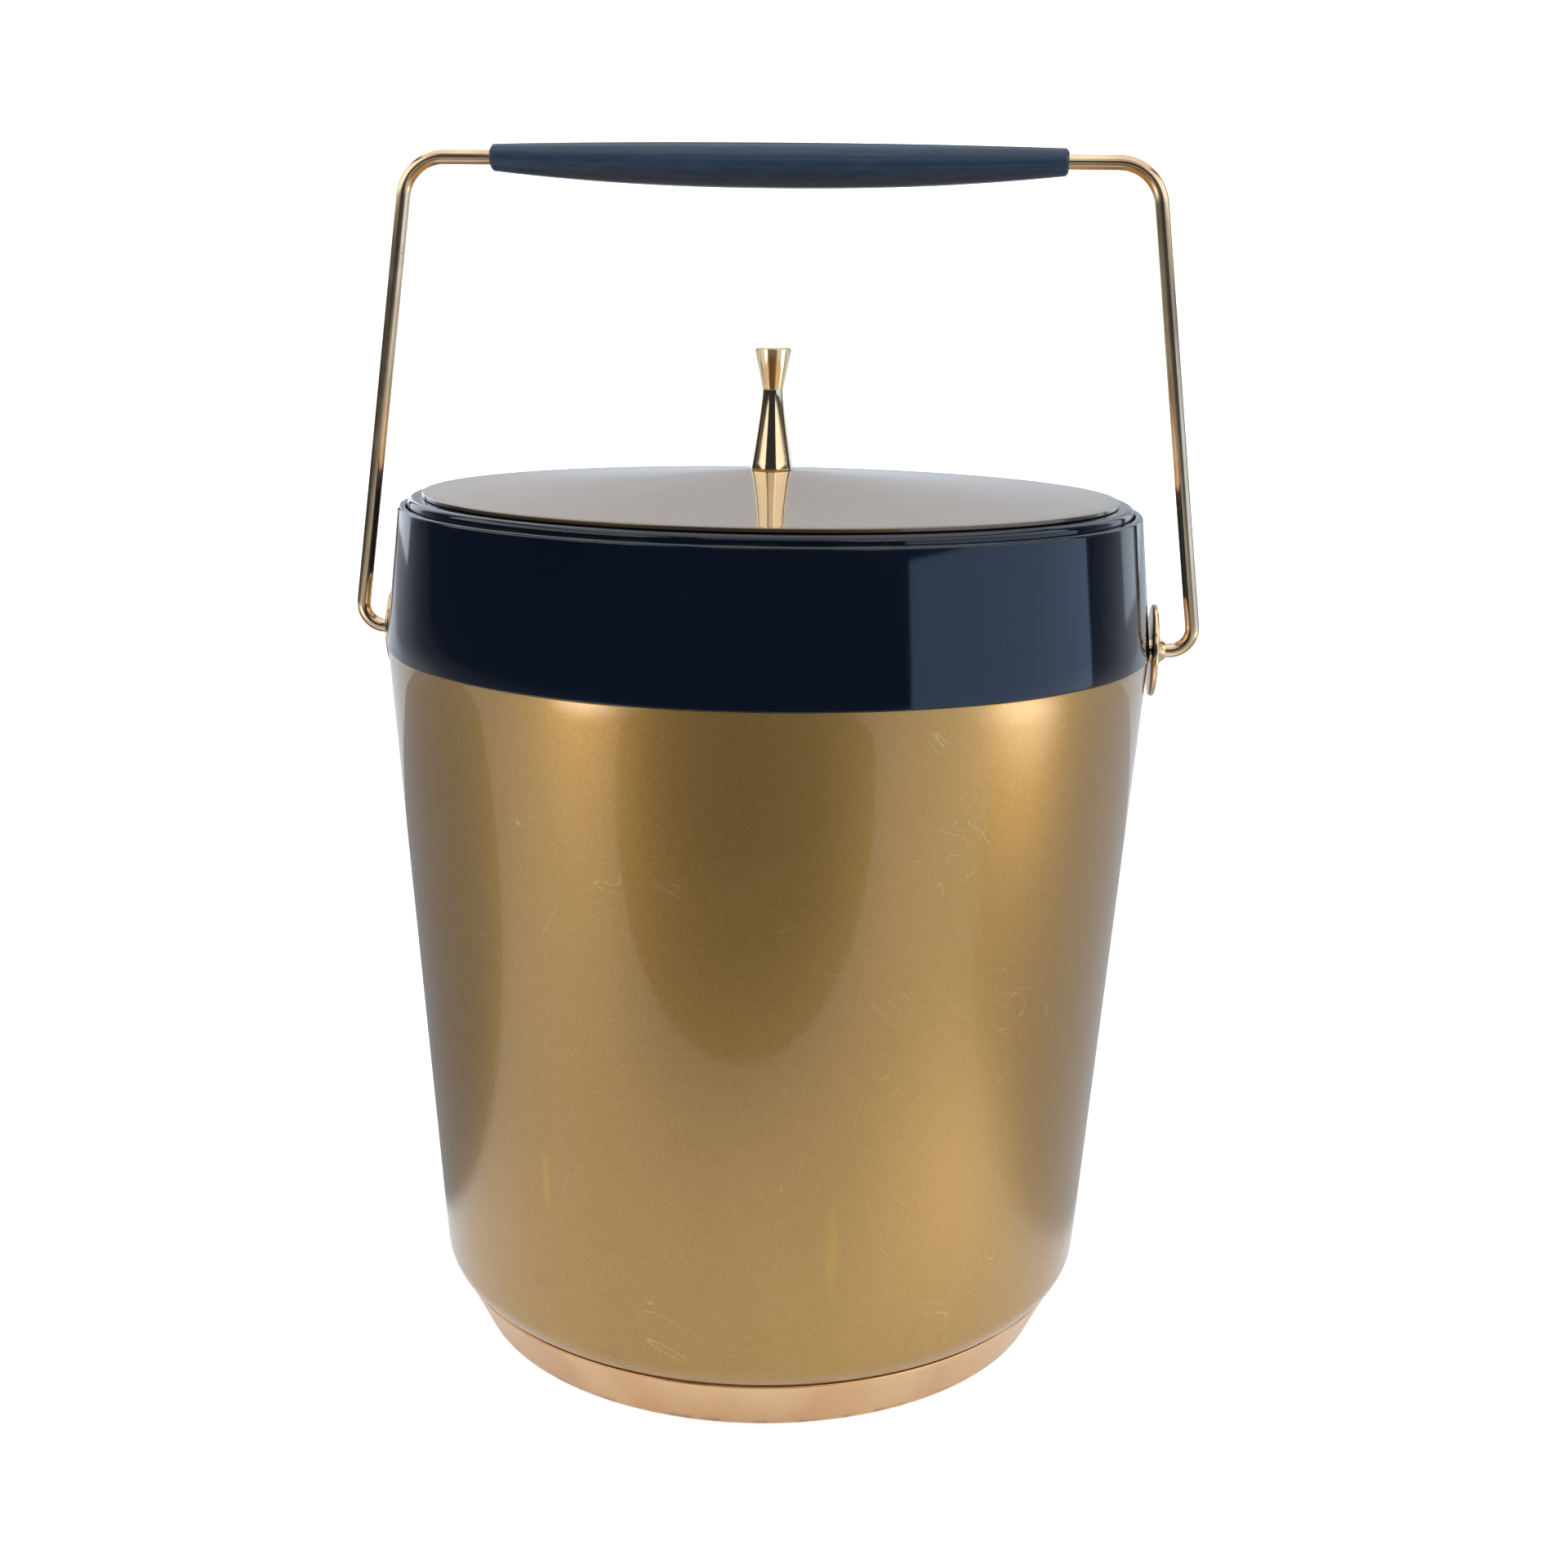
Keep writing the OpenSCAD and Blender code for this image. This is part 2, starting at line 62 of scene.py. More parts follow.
# How finely the pieces are made: steps round a turned piece, the most that one step of a rounding turns,
# and the length past which a straight edge of an outline is divided
STEPS_ROUND = 192
ARC_STEP = math.radians(9)
LONG_EDGE = 6.0
# Gaps between pieces that nest and between pieces that run in each other
NEST_GAP = 0.15
RUN_GAP = 0.05

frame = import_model()


# ---------------------------------------------------------------- sizes


def span(node):
    """Outer radius, lowest and highest point of a turned CAD node."""
    low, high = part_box(node)
    return high.x / MM, low.z / MM, high.z / MM


SHELL_R, FLOOR_Z, SEAM_Z = span("outer_shell")
COLLAR_R, SKIRT_Z, RIM_Z = span("collar")
FOOT_TOP_R = span("foot_ring")[0]
BASE_R, BASE_LOW_Z, BASE_TOP_Z = span("base_plate")
LID_R = span("lid_frame")[0]
DISC_R, DISC_Z, KNOB_Z = span("lid_disc")
KNOB_R, _, KNOB_TOP_Z = span("knob")
LINER_R, LINER_LOW_Z, LINER_TOP_Z = span("inner_liner")
UNDER_R, UNDER_LOW_Z, UNDER_TOP_Z = span("lid_underside")
PIVOT_Z = frame["joints"][0]["pos_m"][2] / MM

FOOT_BASE_R = 74.2
FOOT_H = FLOOR_Z - 0.7
HEM_W = 3.5
SHELL_WALL = 1.2
SHELL_SEAT_R = 80.8
SHELL_CORNER_R = 83.5
SHELL_CORNER_H = 2.5
SIDE_SLOPE = (SHELL_R - SHELL_CORNER_R) / (SEAM_Z - FLOOR_Z - SHELL_CORNER_H)

RIM_TAPER = 3.6
RIM_W = 1.8
SEAT_DEPTH = 4
LEDGE_W = 5
COLLAR_WALL = 2.5

LID_TOP_Z = DISC_Z - NEST_GAP
LID_LOW_Z = LINER_TOP_Z + RUN_GAP
DISC_T = 1
DISC_LAND_R = KNOB_R + 0.3
DISC_FLARE = 1.2
SCREW_HOLE_R = 2.15

WAIST_R = 2.5
WAIST_H = 19.5
KNOB_CROWN_R = 4.6

WIRE_R = 1.75
ARM_LEAN = math.radians(7.6)
ARM_X = COLLAR_R + 11
LOW_BEND_R = 5.5
TOP_BEND_R = 10.5
BAIL_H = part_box("bail_wire")[1].z / MM - WIRE_R - PIVOT_Z

GRIP_LEN = 2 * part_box("grip")[1].x / MM
GRIP_END_R = 3.15
GRIP_CROWN = 0.8
GRIP_BELLY = 3.45

PLATE_X = COLLAR_R + RUN_GAP
PLATE_R = 11.4
PLATE_T = 1.4
PLATE_DOME = 0.6
BUSH_R = 3
BUSH_NOSE_R = 4.2
BUSH_NOSE = 1.8


# ---------------------------------------------------------------- mesh work


def drawn(corners, closed=False):
    """Wire outline through (radius, height, rounding) corners, rounded, its long sides divided."""
    bm = bmesh.new()
    places = [Vector((r * MM, 0, z * MM)) for r, z, _ in corners]
    points = [bm.verts.new(place) for place in places]
    for start, end in zip(points, points[1:] + (points[:1] if closed else [])):
        bm.edges.new((start, end))
    for i, (point, (_, _, rounding)) in enumerate(zip(points, corners)):
        if rounding:
            before = places[i] - places[i - 1]
            after = places[(i + 1) % len(places)] - places[i]
            turn = before.angle(after)
            bmesh.ops.bevel(bm, geom=[point], affect="VERTICES", offset_type="OFFSET",
                            offset=rounding * MM * math.tan(turn / 2), profile=0.5, material=-1,
                            segments=max(2, math.ceil(turn / ARC_STEP)))
    for edge in bm.edges[:]:
        cuts = int(edge.calc_length() / (LONG_EDGE * MM))
        if cuts:
            bmesh.ops.subdivide_edges(bm, edges=[edge], cuts=cuts)
    return bm


def spun(bm, steps=STEPS_ROUND):
    """Spins an outline into a closed turned piece round the Z axis."""
    bmesh.ops.spin(bm, geom=bm.verts[:] + bm.edges[:], cent=(0, 0, 0), axis=(0, 0, 1),
                   angle=math.tau, steps=steps, use_merge=True)
    bmesh.ops.remove_doubles(bm, verts=bm.verts, dist=0.001 * MM)
    bmesh.ops.recalc_face_normals(bm, faces=bm.faces)
    return bm


def pushed(bm, loop, move, grow=1.0, steps=1):
    """Extrudes a loop of edges by move, scaled about its middle by grow, and gives the new loop."""
    for _ in range(steps):
        made = bmesh.ops.extrude_edge_only(bm, edges=loop)["geom"]
        points = [g for g in made if isinstance(g, bmesh.types.BMVert)]
        loop = [g for g in made if isinstance(g, bmesh.types.BMEdge) and g.is_boundary]
        middle = sum((p.co for p in points), Vector()) / len(points)
        bmesh.ops.scale(bm, verts=points, vec=(grow, grow, grow), space=Matrix.Translation(-middle))
        bmesh.ops.translate(bm, verts=points, vec=Vector(move) / steps)
    return loop


def swung(bm, loop, centre, angle):
    """Spins a loop of edges about a line along Y through centre, and gives the last loop."""
    points = list({p for edge in loop for p in edge.verts})
    made = bmesh.ops.spin(bm, geom=points + loop, cent=centre, axis=(0, 1, 0), angle=angle,
                          steps=max(6, round(abs(angle) / math.radians(6))))
    return [g for g in made["geom_last"] if isinstance(g, bmesh.types.BMEdge)]


def place(bm, name, body, node, slot, material, crease=38):
    """Makes the mesh a named piece that rides on a body and stands for a CAD node."""
    mesh = bpy.data.meshes.new(name)
    bm.to_mesh(mesh)
    bm.free()
    mesh.shade_smooth()
    mesh.set_sharp_from_angle(angle=math.radians(crease))
    mesh.materials.append(material)
    made = bpy.data.objects.new(name, mesh)
    bpy.context.scene.collection.objects.link(made)
    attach(made, body)
    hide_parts(node)


# ---------------------------------------------------------------- shader work


def feed(tree, socket, value):
    """Sets a socket to a number or colour, or links it to another socket."""
    if isinstance(value, bpy.types.NodeSocket):
        tree.links.new(value, socket)
    else:
        socket.default_value = value


def sums(tree, operation, *values):
    node = tree.nodes.new("ShaderNodeMath")
    node.operation = operation
    for socket, value in zip(node.inputs, values):
        feed(tree, socket, value)
    return node.outputs[0]


def spread(tree, value, low, high, start=0.0, end=1.0):
    """Smoothly maps low..high of a value to start..end."""
    node = tree.nodes.new("ShaderNodeMapRange")
    node.interpolation_type = "SMOOTHSTEP"
    for socket, number in zip(node.inputs, (value, low, high, start, end)):
        feed(tree, socket, number)
    return node.outputs[0]


def blended(tree, factor, first, second):
    """Mixes two colours, each an RGB triple or a socket."""
    node = tree.nodes.new("ShaderNodeMix")
    node.data_type = "RGBA"
    feed(tree, node.inputs[0], factor)
    for socket, colour in zip((node.inputs[6], node.inputs[7]), (first, second)):
        feed(tree, socket, colour if isinstance(colour, bpy.types.NodeSocket) else (*colour, 1))
    return node.outputs[2]


def position(tree, stretch=(1, 1, 1), turn=(0, 0, 0)):
    """Object coordinates, stretched and turned, in metres."""
    coordinates = tree.nodes.new("ShaderNodeTexCoord")
    mapping = tree.nodes.new("ShaderNodeMapping")
    mapping.inputs["Scale"].default_value = stretch
    mapping.inputs["Rotation"].default_value = turn
    tree.links.new(coordinates.outputs["Object"], mapping.inputs["Vector"])
    return mapping.outputs[0]


def noise(tree, where, scale, detail=2.0, roughness=0.5, warp=0.0):
    node = tree.nodes.new("ShaderNodeTexNoise")
    feed(tree, node.inputs["Vector"], where)
    feed(tree, node.inputs["Scale"], scale)
    node.inputs["Detail"].default_value = detail
    node.inputs["Roughness"].default_value = roughness
    node.inputs["Distortion"].default_value = warp
    return node.outputs[0]


def effect(name, inputs, outputs, wire):
    """A node group with number inputs (name, value) and number outputs, filled in by wire."""
    tree = bpy.data.node_groups.new(name, "ShaderNodeTree")
    for title, value in inputs:
        socket = tree.interface.new_socket(title, in_out="INPUT", socket_type="NodeSocketFloat")
        socket.default_value = value
    for title in outputs:
        tree.interface.new_socket(title, in_out="OUTPUT", socket_type="NodeSocketFloat")
    entry = tree.nodes.new("NodeGroupInput")
    leave = tree.nodes.new("NodeGroupOutput")
    for title, value in zip(outputs, wire(tree, entry.outputs)):
        tree.links.new(value, leave.inputs[title])
    return tree


def use(tree, group, **values):
    """Places a node group in a material with its own values, and gives what it puts out."""
    node = tree.nodes.new("ShaderNodeGroup")
    node.node_tree = group
    for title, value in values.items():
        feed(tree, node.inputs[title.capitalize()], value)
    return node.outputs[0]


def wire_grain(tree, inputs):
    """Fine even grain, such as metal flake or moulding texture: 0 to 1 round a half."""
    fine = noise(tree, position(tree), inputs["Scale"], detail=1.0)
    coarse = noise(tree, position(tree), sums(tree, "MULTIPLY", inputs["Scale"], 0.31), detail=1.0)
    return [sums(tree, "ADD", sums(tree, "MULTIPLY", fine, 0.6), sums(tree, "MULTIPLY", coarse, 0.4))]


def wire_smudges(tree, inputs):
    """Cloudy handling marks and fingerprints: where they are, 0 to 1."""
    patches = noise(tree, position(tree), inputs["Scale"], detail=3.0, warp=0.6)
    ridges = noise(tree, position(tree, (1, 1, 0.4)), sums(tree, "MULTIPLY", inputs["Scale"], 22), warp=1.5)
    cover = spread(tree, patches, sums(tree, "SUBTRACT", 0.72, inputs["Amount"]), 0.78)
    return [sums(tree, "MULTIPLY", cover, spread(tree, ridges, 0.2, 0.7, 0.55, 1.0))]


def slanted(tree, turn, long):
    """Object coordinates turned and then drawn out along their own X, so that patterns run in lines."""
    coordinates = tree.nodes.new("ShaderNodeTexCoord")
    mapping = tree.nodes.new("ShaderNodeMapping")
    mapping.vector_type = "TEXTURE"
    mapping.inputs["Rotation"].default_value = turn
    mapping.inputs["Scale"].default_value = (long, 1, 1)
    tree.links.new(coordinates.outputs["Object"], mapping.inputs["Vector"])
    return mapping.outputs[0]


def wire_hairlines(tree, inputs):
    """Sparse fine scratches in several directions: 1 on a scratch."""
    total = None
    for turn, patch in (((0.2, 0.3, 0.1), 38), ((-0.5, 0.8, 0.6), 47), ((0.4, -1.2, -0.5), 53)):
        run = noise(tree, slanted(tree, turn, 22), sums(tree, "MULTIPLY", inputs["Scale"], 9), detail=0.0)
        away = sums(tree, "ABSOLUTE", sums(tree, "SUBTRACT", run, 0.5))
        line = spread(tree, away, 0.0, inputs["Width"], 1.0, 0.0)
        kept = spread(tree, noise(tree, position(tree, (1, 1, 1), turn), patch, detail=2.0), 0.65, 0.70)
        line = sums(tree, "MULTIPLY", line, kept)
        total = line if total is None else sums(tree, "MAXIMUM", total, line)
    return [sums(tree, "MULTIPLY", total, inputs["Amount"])]


def wire_worn_and_shaded_edge(tree, inputs):
    """Mark along a level edge, used as wear and, on the shell's bottom edge, as painted shade: 1 at the
    given height, broken up and fading over the width.
    """
    apart = tree.nodes.new("ShaderNodeSeparateXYZ")
    tree.links.new(position(tree), apart.inputs[0])
    away = sums(tree, "ABSOLUTE", sums(tree, "SUBTRACT", apart.outputs["Z"], inputs["Height"]))
    near = spread(tree, sums(tree, "DIVIDE", away, inputs["Width"]), 0.1, 1.0, 1.0, 0.0)
    broken = spread(tree, noise(tree, position(tree), 160, detail=4.0, roughness=0.7), 0.42, 0.62)
    return [sums(tree, "MULTIPLY", near, broken)]


def wire_level_band(tree, inputs):
    """A band between two heights with soft edges, used to paint dark shade on the lid disc's edge: 1 inside
    it.
    """
    apart = tree.nodes.new("ShaderNodeSeparateXYZ")
    tree.links.new(position(tree), apart.inputs[0])
    soft = 0.00012
    above = spread(tree, sums(tree, "SUBTRACT", apart.outputs["Z"], inputs["Low"]), -soft, soft)
    below = spread(tree, sums(tree, "SUBTRACT", inputs["High"], apart.outputs["Z"]), -soft, soft)
    return [sums(tree, "MULTIPLY", above, below)]


def wire_specks(tree, inputs):
    """Dust and pin-prick blemishes: 1 on a speck."""
    cells = tree.nodes.new("ShaderNodeTexVoronoi")
    feed(tree, cells.inputs["Vector"], position(tree))
    feed(tree, cells.inputs["Scale"], inputs["Scale"])
    apart = tree.nodes.new("ShaderNodeSeparateColor")
    tree.links.new(cells.outputs["Color"], apart.inputs[0])
    chosen = sums(tree, "LESS_THAN", apart.outputs[0], inputs["Amount"])
    return [sums(tree, "MULTIPLY", chosen, spread(tree, cells.outputs["Distance"], 0.06, 0.16, 1.0, 0.0))]


def wire_mark(tree, inputs):
    """One soft mark on a turned side, at a bearing in degrees and a height: 1 in its middle."""
    side_r = 0.09
    apart = tree.nodes.new("ShaderNodeSeparateXYZ")
    tree.links.new(position(tree), apart.inputs[0])
    bearing = sums(tree, "ARCTAN2", apart.outputs["X"], sums(tree, "MULTIPLY", apart.outputs["Y"], -1))
    turn = sums(tree, "SUBTRACT", bearing, sums(tree, "RADIANS", inputs["Bearing"]))
    across = sums(tree, "DIVIDE", sums(tree, "MULTIPLY", turn, side_r), inputs["Width"])
    above = sums(tree, "SUBTRACT", apart.outputs["Z"], inputs["Height"])
    along = sums(tree, "DIVIDE", above, inputs["Length"])
    reach = sums(tree, "SQRT", sums(tree, "ADD", sums(tree, "MULTIPLY", across, across),
                                    sums(tree, "MULTIPLY", along, along)))
    ragged = sums(tree, "MULTIPLY_ADD", noise(tree, position(tree), 420, detail=3.0), 0.7, -0.35)
    return [spread(tree, sums(tree, "ADD", reach, ragged), 0.35, 1.0, 1.0, 0.0)]


GRAIN = effect("fine_grain", [("Scale", 3000)], ["Grain"], wire_grain)
SMUDGES = effect("smudges", [("Scale", 20), ("Amount", 0.2)], ["Smudge"], wire_smudges)
HAIRLINES = effect("hairlines", [("Scale", 30), ("Width", 0.01), ("Amount", 1)], ["Scratch"], wire_hairlines)
WEAR_AND_SHADE_EDGE = effect("worn_and_shade_painted_edge", [("Height", 0), ("Width", 0.001)], ["Wear"], wire_worn_and_shaded_edge)
PAINTED_SHADE_BAND = effect("level_band", [("Low", 0), ("High", 0.001)], ["Band"], wire_level_band)
SPECKS = effect("specks", [("Scale", 300), ("Amount", 0.02)], ["Speck"], wire_specks)
MARK = effect("mark", [("Bearing", 0), ("Height", 0.1), ("Width", 0.003), ("Length", 0.01)],
              ["Mark"], wire_mark)


def finish(name, metallic=0.0, coat=0.0, coat_roughness=0.03, ior=1.5):
    """A new material with its node tree and its shader."""
    material = bpy.data.materials.new(name)
    material.use_nodes = True
    shader = material.node_tree.nodes["Principled BSDF"]
    shader.inputs["Metallic"].default_value = metallic
    shader.inputs["Coat Weight"].default_value = coat
    shader.inputs["Coat Roughness"].default_value = coat_roughness
    shader.inputs["IOR"].default_value = ior
    return material, material.node_tree, shader


def raised(tree, shader, height, depth):
    """Feeds a height, in shares of depth in metres, to the shader's normal."""
    bump = tree.nodes.new("ShaderNodeBump")
    bump.inputs["Distance"].default_value = depth
    feed(tree, bump.inputs["Height"], height)
    tree.links.new(bump.outputs[0], shader.inputs["Normal"])


def gold_lacquer():
    """Metallic gold lacquer under clear coat, with fine flake, streaks, stains and hairline scratches, and
    painted dark shade on the lid disc's edge and on the shell's bottom edge.
    """
    material, tree, shader = finish("gold_lacquer", metallic=1.0, coat=1.0, coat_roughness=0.035)
    flake = use(tree, GRAIN, scale=3600)
    cloud = noise(tree, position(tree, (1, 1, 0.35)), 16, detail=3.0)
    tone = blended(tree, spread(tree, cloud, 0.3, 0.7), (0.42, 0.238, 0.056), (0.48, 0.278, 0.072))
    tone = blended(tree, spread(tree, flake, 0.3, 0.7, 0.0, 0.35), tone, (0.62, 0.41, 0.16))
    for bearing, height, width, length in ((-29, 60, 1.6, 10), (17, 50, 1.9, 16)):
        stain = use(tree, MARK, bearing=bearing, height=height * MM, width=width * MM, length=length * MM)
        tone = blended(tree, sums(tree, "MULTIPLY", stain, 0.55), tone, (0.60, 0.36, 0.08))
    scuffs = None
    for bearing, height, width, length in ((-72, 52, 3, 4), (-31, 33, 4.5, 4),
                                           (-18, 18, 4, 5), (62, 96, 2, 7)):
        scuff = use(tree, MARK, bearing=bearing, height=height * MM, width=width * MM, length=length * MM)
        scuffs = scuff if scuffs is None else sums(tree, "MAXIMUM", scuffs, scuff)
    rubbed = noise(tree, position(tree, (1, 1, 3)), 900, detail=3.0, roughness=0.7)
    scuffs = sums(tree, "MULTIPLY", scuffs, spread(tree, rubbed, 0.5, 0.62))
    tone = blended(tree, sums(tree, "MULTIPLY", scuffs, 0.45), tone, (0.30, 0.18, 0.08))
    scratch = use(tree, HAIRLINES, scale=26, width=0.012, amount=0.8)
    tone = blended(tree, sums(tree, "MULTIPLY", scratch, 0.5), tone, (0.80, 0.62, 0.36))
    # Painted shade: the shell's bottom edge, just above the gap over the foot ring, is painted darker.
    wear_and_painted_shade = use(tree, WEAR_AND_SHADE_EDGE, height=(FLOOR_Z + 0.8) * MM, width=1.6 * MM)
    tone = blended(tree, sums(tree, "MULTIPLY", wear_and_painted_shade, 0.5), tone, (0.22, 0.13, 0.06))
    # Painted shade: the lid disc's edge and the border of its top are painted dark brown.
    edge = use(tree, PAINTED_SHADE_BAND, low=(DISC_Z - 0.1) * MM, high=(DISC_Z + DISC_T + 0.03) * MM)
    tone = blended(tree, sums(tree, "MULTIPLY", edge, 0.85), tone, (0.085, 0.052, 0.034))
    feed(tree, shader.inputs["Base Color"], tone)
    smudge = use(tree, SMUDGES, scale=14, amount=0.14)
    rough = sums(tree, "MULTIPLY_ADD", smudge, 0.05, 0.37)
    rough = sums(tree, "MULTIPLY_ADD", scuffs, 0.15, rough)
    feed(tree, shader.inputs["Roughness"], rough)
    raised(tree, shader, sums(tree, "MULTIPLY_ADD", scratch, -2.0, flake), 6e-6)
    return material


def copper_gold():
    """Spun copper-gold of the foot ring: satin, with turning lines, handling marks and a rubbed edge."""
    material, tree, shader = finish("copper_gold", metallic=1.0)
    cloud = noise(tree, position(tree, (1, 1, 0.5)), 38, detail=4.0, warp=0.5)
    tone = blended(tree, spread(tree, cloud, 0.35, 0.68), (0.80, 0.50, 0.27), (0.88, 0.60, 0.34))
    wear_and_painted_shade = use(tree, WEAR_AND_SHADE_EDGE, height=0.5 * MM, width=1.5 * MM)
    tone = blended(tree, sums(tree, "MULTIPLY", wear_and_painted_shade, 0.6), tone, (0.45, 0.27, 0.15))
    specks = use(tree, SPECKS, scale=420, amount=0.03)
    tone = blended(tree, sums(tree, "MULTIPLY", specks, 0.5), tone, (0.35, 0.20, 0.10))
    feed(tree, shader.inputs["Base Color"], tone)
    turning = noise(tree, position(tree, (1, 1, 60)), 90, detail=3.0)
    smudge = use(tree, SMUDGES, scale=26, amount=0.22)
    feed(tree, shader.inputs["Roughness"], sums(tree, "MULTIPLY_ADD", smudge, 0.16, 0.2))
    raised(tree, shader, sums(tree, "ADD", turning, use(tree, HAIRLINES, scale=40, width=0.01)), 5e-6)
    return material


def navy_gloss():
    """Glossy moulded navy plastic, with faint ripple, hairlines, dust and polished edges."""
    material, tree, shader = finish("navy_gloss", ior=1.5)
    cloud = noise(tree, position(tree), 22, detail=2.0)
    tone = blended(tree, spread(tree, cloud, 0.3, 0.7), (0.0026, 0.0062, 0.0145), (0.0040, 0.0084, 0.0185))
    scratch = use(tree, HAIRLINES, scale=34, width=0.006, amount=0.6)
    tone = blended(tree, sums(tree, "MULTIPLY", scratch, 0.5), tone, (0.05, 0.06, 0.08))
    dust = use(tree, SPECKS, scale=260, amount=0.012)
    tone = blended(tree, sums(tree, "MULTIPLY", dust, 0.55), tone, (0.16, 0.17, 0.19))
    wear_and_painted_shade = use(tree, WEAR_AND_SHADE_EDGE, height=(RIM_Z - 0.2) * MM, width=0.8 * MM)
    tone = blended(tree, sums(tree, "MULTIPLY", wear_and_painted_shade, 0.35), tone, (0.05, 0.055, 0.065))
    feed(tree, shader.inputs["Base Color"], tone)
    smudge = use(tree, SMUDGES, scale=18, amount=0.2)
    rough = sums(tree, "MULTIPLY_ADD", smudge, 0.05, 0.07)
    feed(tree, shader.inputs["Roughness"], sums(tree, "MULTIPLY_ADD", scratch, 0.2, rough))
    ripple = noise(tree, position(tree, (1, 1, 0.4)), 55, detail=2.0)
    raised(tree, shader, sums(tree, "MULTIPLY_ADD", scratch, -0.4, ripple), 1.2e-5)
    return material


def grip_navy():
    """The grip's navy plastic, duller from handling, with streaks along it and rubbed ends."""
    material, tree, shader = finish("grip_navy", ior=1.38)
    streaks = noise(tree, position(tree, (6, 60, 60)), 14, detail=4.0, roughness=0.6)
    tone = blended(tree, spread(tree, streaks, 0.35, 0.7), (0.028, 0.050, 0.088), (0.040, 0.066, 0.110))
    grain = use(tree, GRAIN, scale=1400)
    rubbed = use(tree, SMUDGES, scale=45, amount=0.22)
    tone = blended(tree, sums(tree, "MULTIPLY", rubbed, 0.35), tone, (0.06, 0.07, 0.085))
    scratch = use(tree, HAIRLINES, scale=60, width=0.012, amount=0.9)
    tone = blended(tree, sums(tree, "MULTIPLY", scratch, 0.6), tone, (0.13, 0.14, 0.16))
    feed(tree, shader.inputs["Base Color"], tone)
    feed(tree, shader.inputs["Roughness"], sums(tree, "MULTIPLY_ADD", rubbed, 0.14, 0.24))
    raised(tree, shader, sums(tree, "MULTIPLY_ADD", streaks, 1.5, grain), 1.0e-5)
    return material


def brass(name, bright, dull, roughness):
    """Brass with faint tarnish, drawing lines and pin-pricks."""
    material, tree, shader = finish(name, metallic=1.0)
    cloud = noise(tree, position(tree), 60, detail=4.0, warp=0.4)
    tone = blended(tree, spread(tree, cloud, 0.35, 0.75), bright, dull)
    specks = use(tree, SPECKS, scale=520, amount=0.035)
    tone = blended(tree, sums(tree, "MULTIPLY", specks, 0.7), tone, (0.30, 0.15, 0.07))
    feed(tree, shader.inputs["Base Color"], tone)
    smudge = use(tree, SMUDGES, scale=48, amount=0.2)
    feed(tree, shader.inputs["Roughness"], sums(tree, "MULTIPLY_ADD", smudge, 0.12, roughness))
    lines = noise(tree, position(tree, (1, 1, 0.2)), 700, detail=2.0)
    raised(tree, shader, sums(tree, "ADD", lines, use(tree, HAIRLINES, scale=70, width=0.02)), 2.5e-6)
    return material


def white_plastic():
    """Moulded white plastic of the bowl and the lid's underside, a little yellowed and scratched."""
    material, tree, shader = finish("white_plastic", ior=1.49)
    cloud = noise(tree, position(tree), 18, detail=4.0)
    tone = blended(tree, spread(tree, cloud, 0.35, 0.7), (0.78, 0.76, 0.70), (0.72, 0.68, 0.58))
    scratch = use(tree, HAIRLINES, scale=38, width=0.012, amount=1.0)
    tone = blended(tree, sums(tree, "MULTIPLY", scratch, 0.35), tone, (0.50, 0.48, 0.44))
    feed(tree, shader.inputs["Base Color"], tone)
    smudge = use(tree, SMUDGES, scale=20, amount=0.2)
    feed(tree, shader.inputs["Roughness"], sums(tree, "MULTIPLY_ADD", smudge, 0.15, 0.28))
    ripple = noise(tree, position(tree), 70, detail=2.0)
    raised(tree, shader, sums(tree, "MULTIPLY_ADD", scratch, -0.5, ripple), 1.5e-5)
    return material


def dark_plastic():
    """Matt dark base plate, with moulding texture, scrapes and dust."""
    material, tree, shader = finish("dark_plastic", ior=1.49)
    grain = use(tree, GRAIN, scale=900)
    tone = blended(tree, spread(tree, grain, 0.3, 0.7), (0.012, 0.015, 0.020), (0.022, 0.025, 0.031))
    dust = use(tree, SMUDGES, scale=30, amount=0.26)
    tone = blended(tree, sums(tree, "MULTIPLY", dust, 0.35), tone, (0.13, 0.125, 0.12))
    scratch = use(tree, HAIRLINES, scale=45, width=0.02, amount=1.0)
    tone = blended(tree, sums(tree, "MULTIPLY", scratch, 0.6), tone, (0.12, 0.12, 0.12))
    feed(tree, shader.inputs["Base Color"], tone)
    feed(tree, shader.inputs["Roughness"], sums(tree, "MULTIPLY_ADD", dust, 0.2, 0.5))
    raised(tree, shader, grain, 3e-5)
    return material


def foam():
    """Rigid insulating foam: pale, with cells and flat cut faces."""
    material, tree, shader = finish("foam")
    cells = tree.nodes.new("ShaderNodeTexVoronoi")
    tree.links.new(position(tree), cells.inputs["Vector"])
    cells.inputs["Scale"].default_value = 420
    tone = blended(tree, cells.outputs["Distance"], (0.82, 0.76, 0.58), (0.62, 0.54, 0.36))
    feed(tree, shader.inputs["Base Color"], tone)
    shade = noise(tree, position(tree), 90)
    feed(tree, shader.inputs["Roughness"], sums(tree, "MULTIPLY_ADD", shade, 0.2, 0.7))
    raised(tree, shader, cells.outputs["Distance"], 4e-4)
    return material


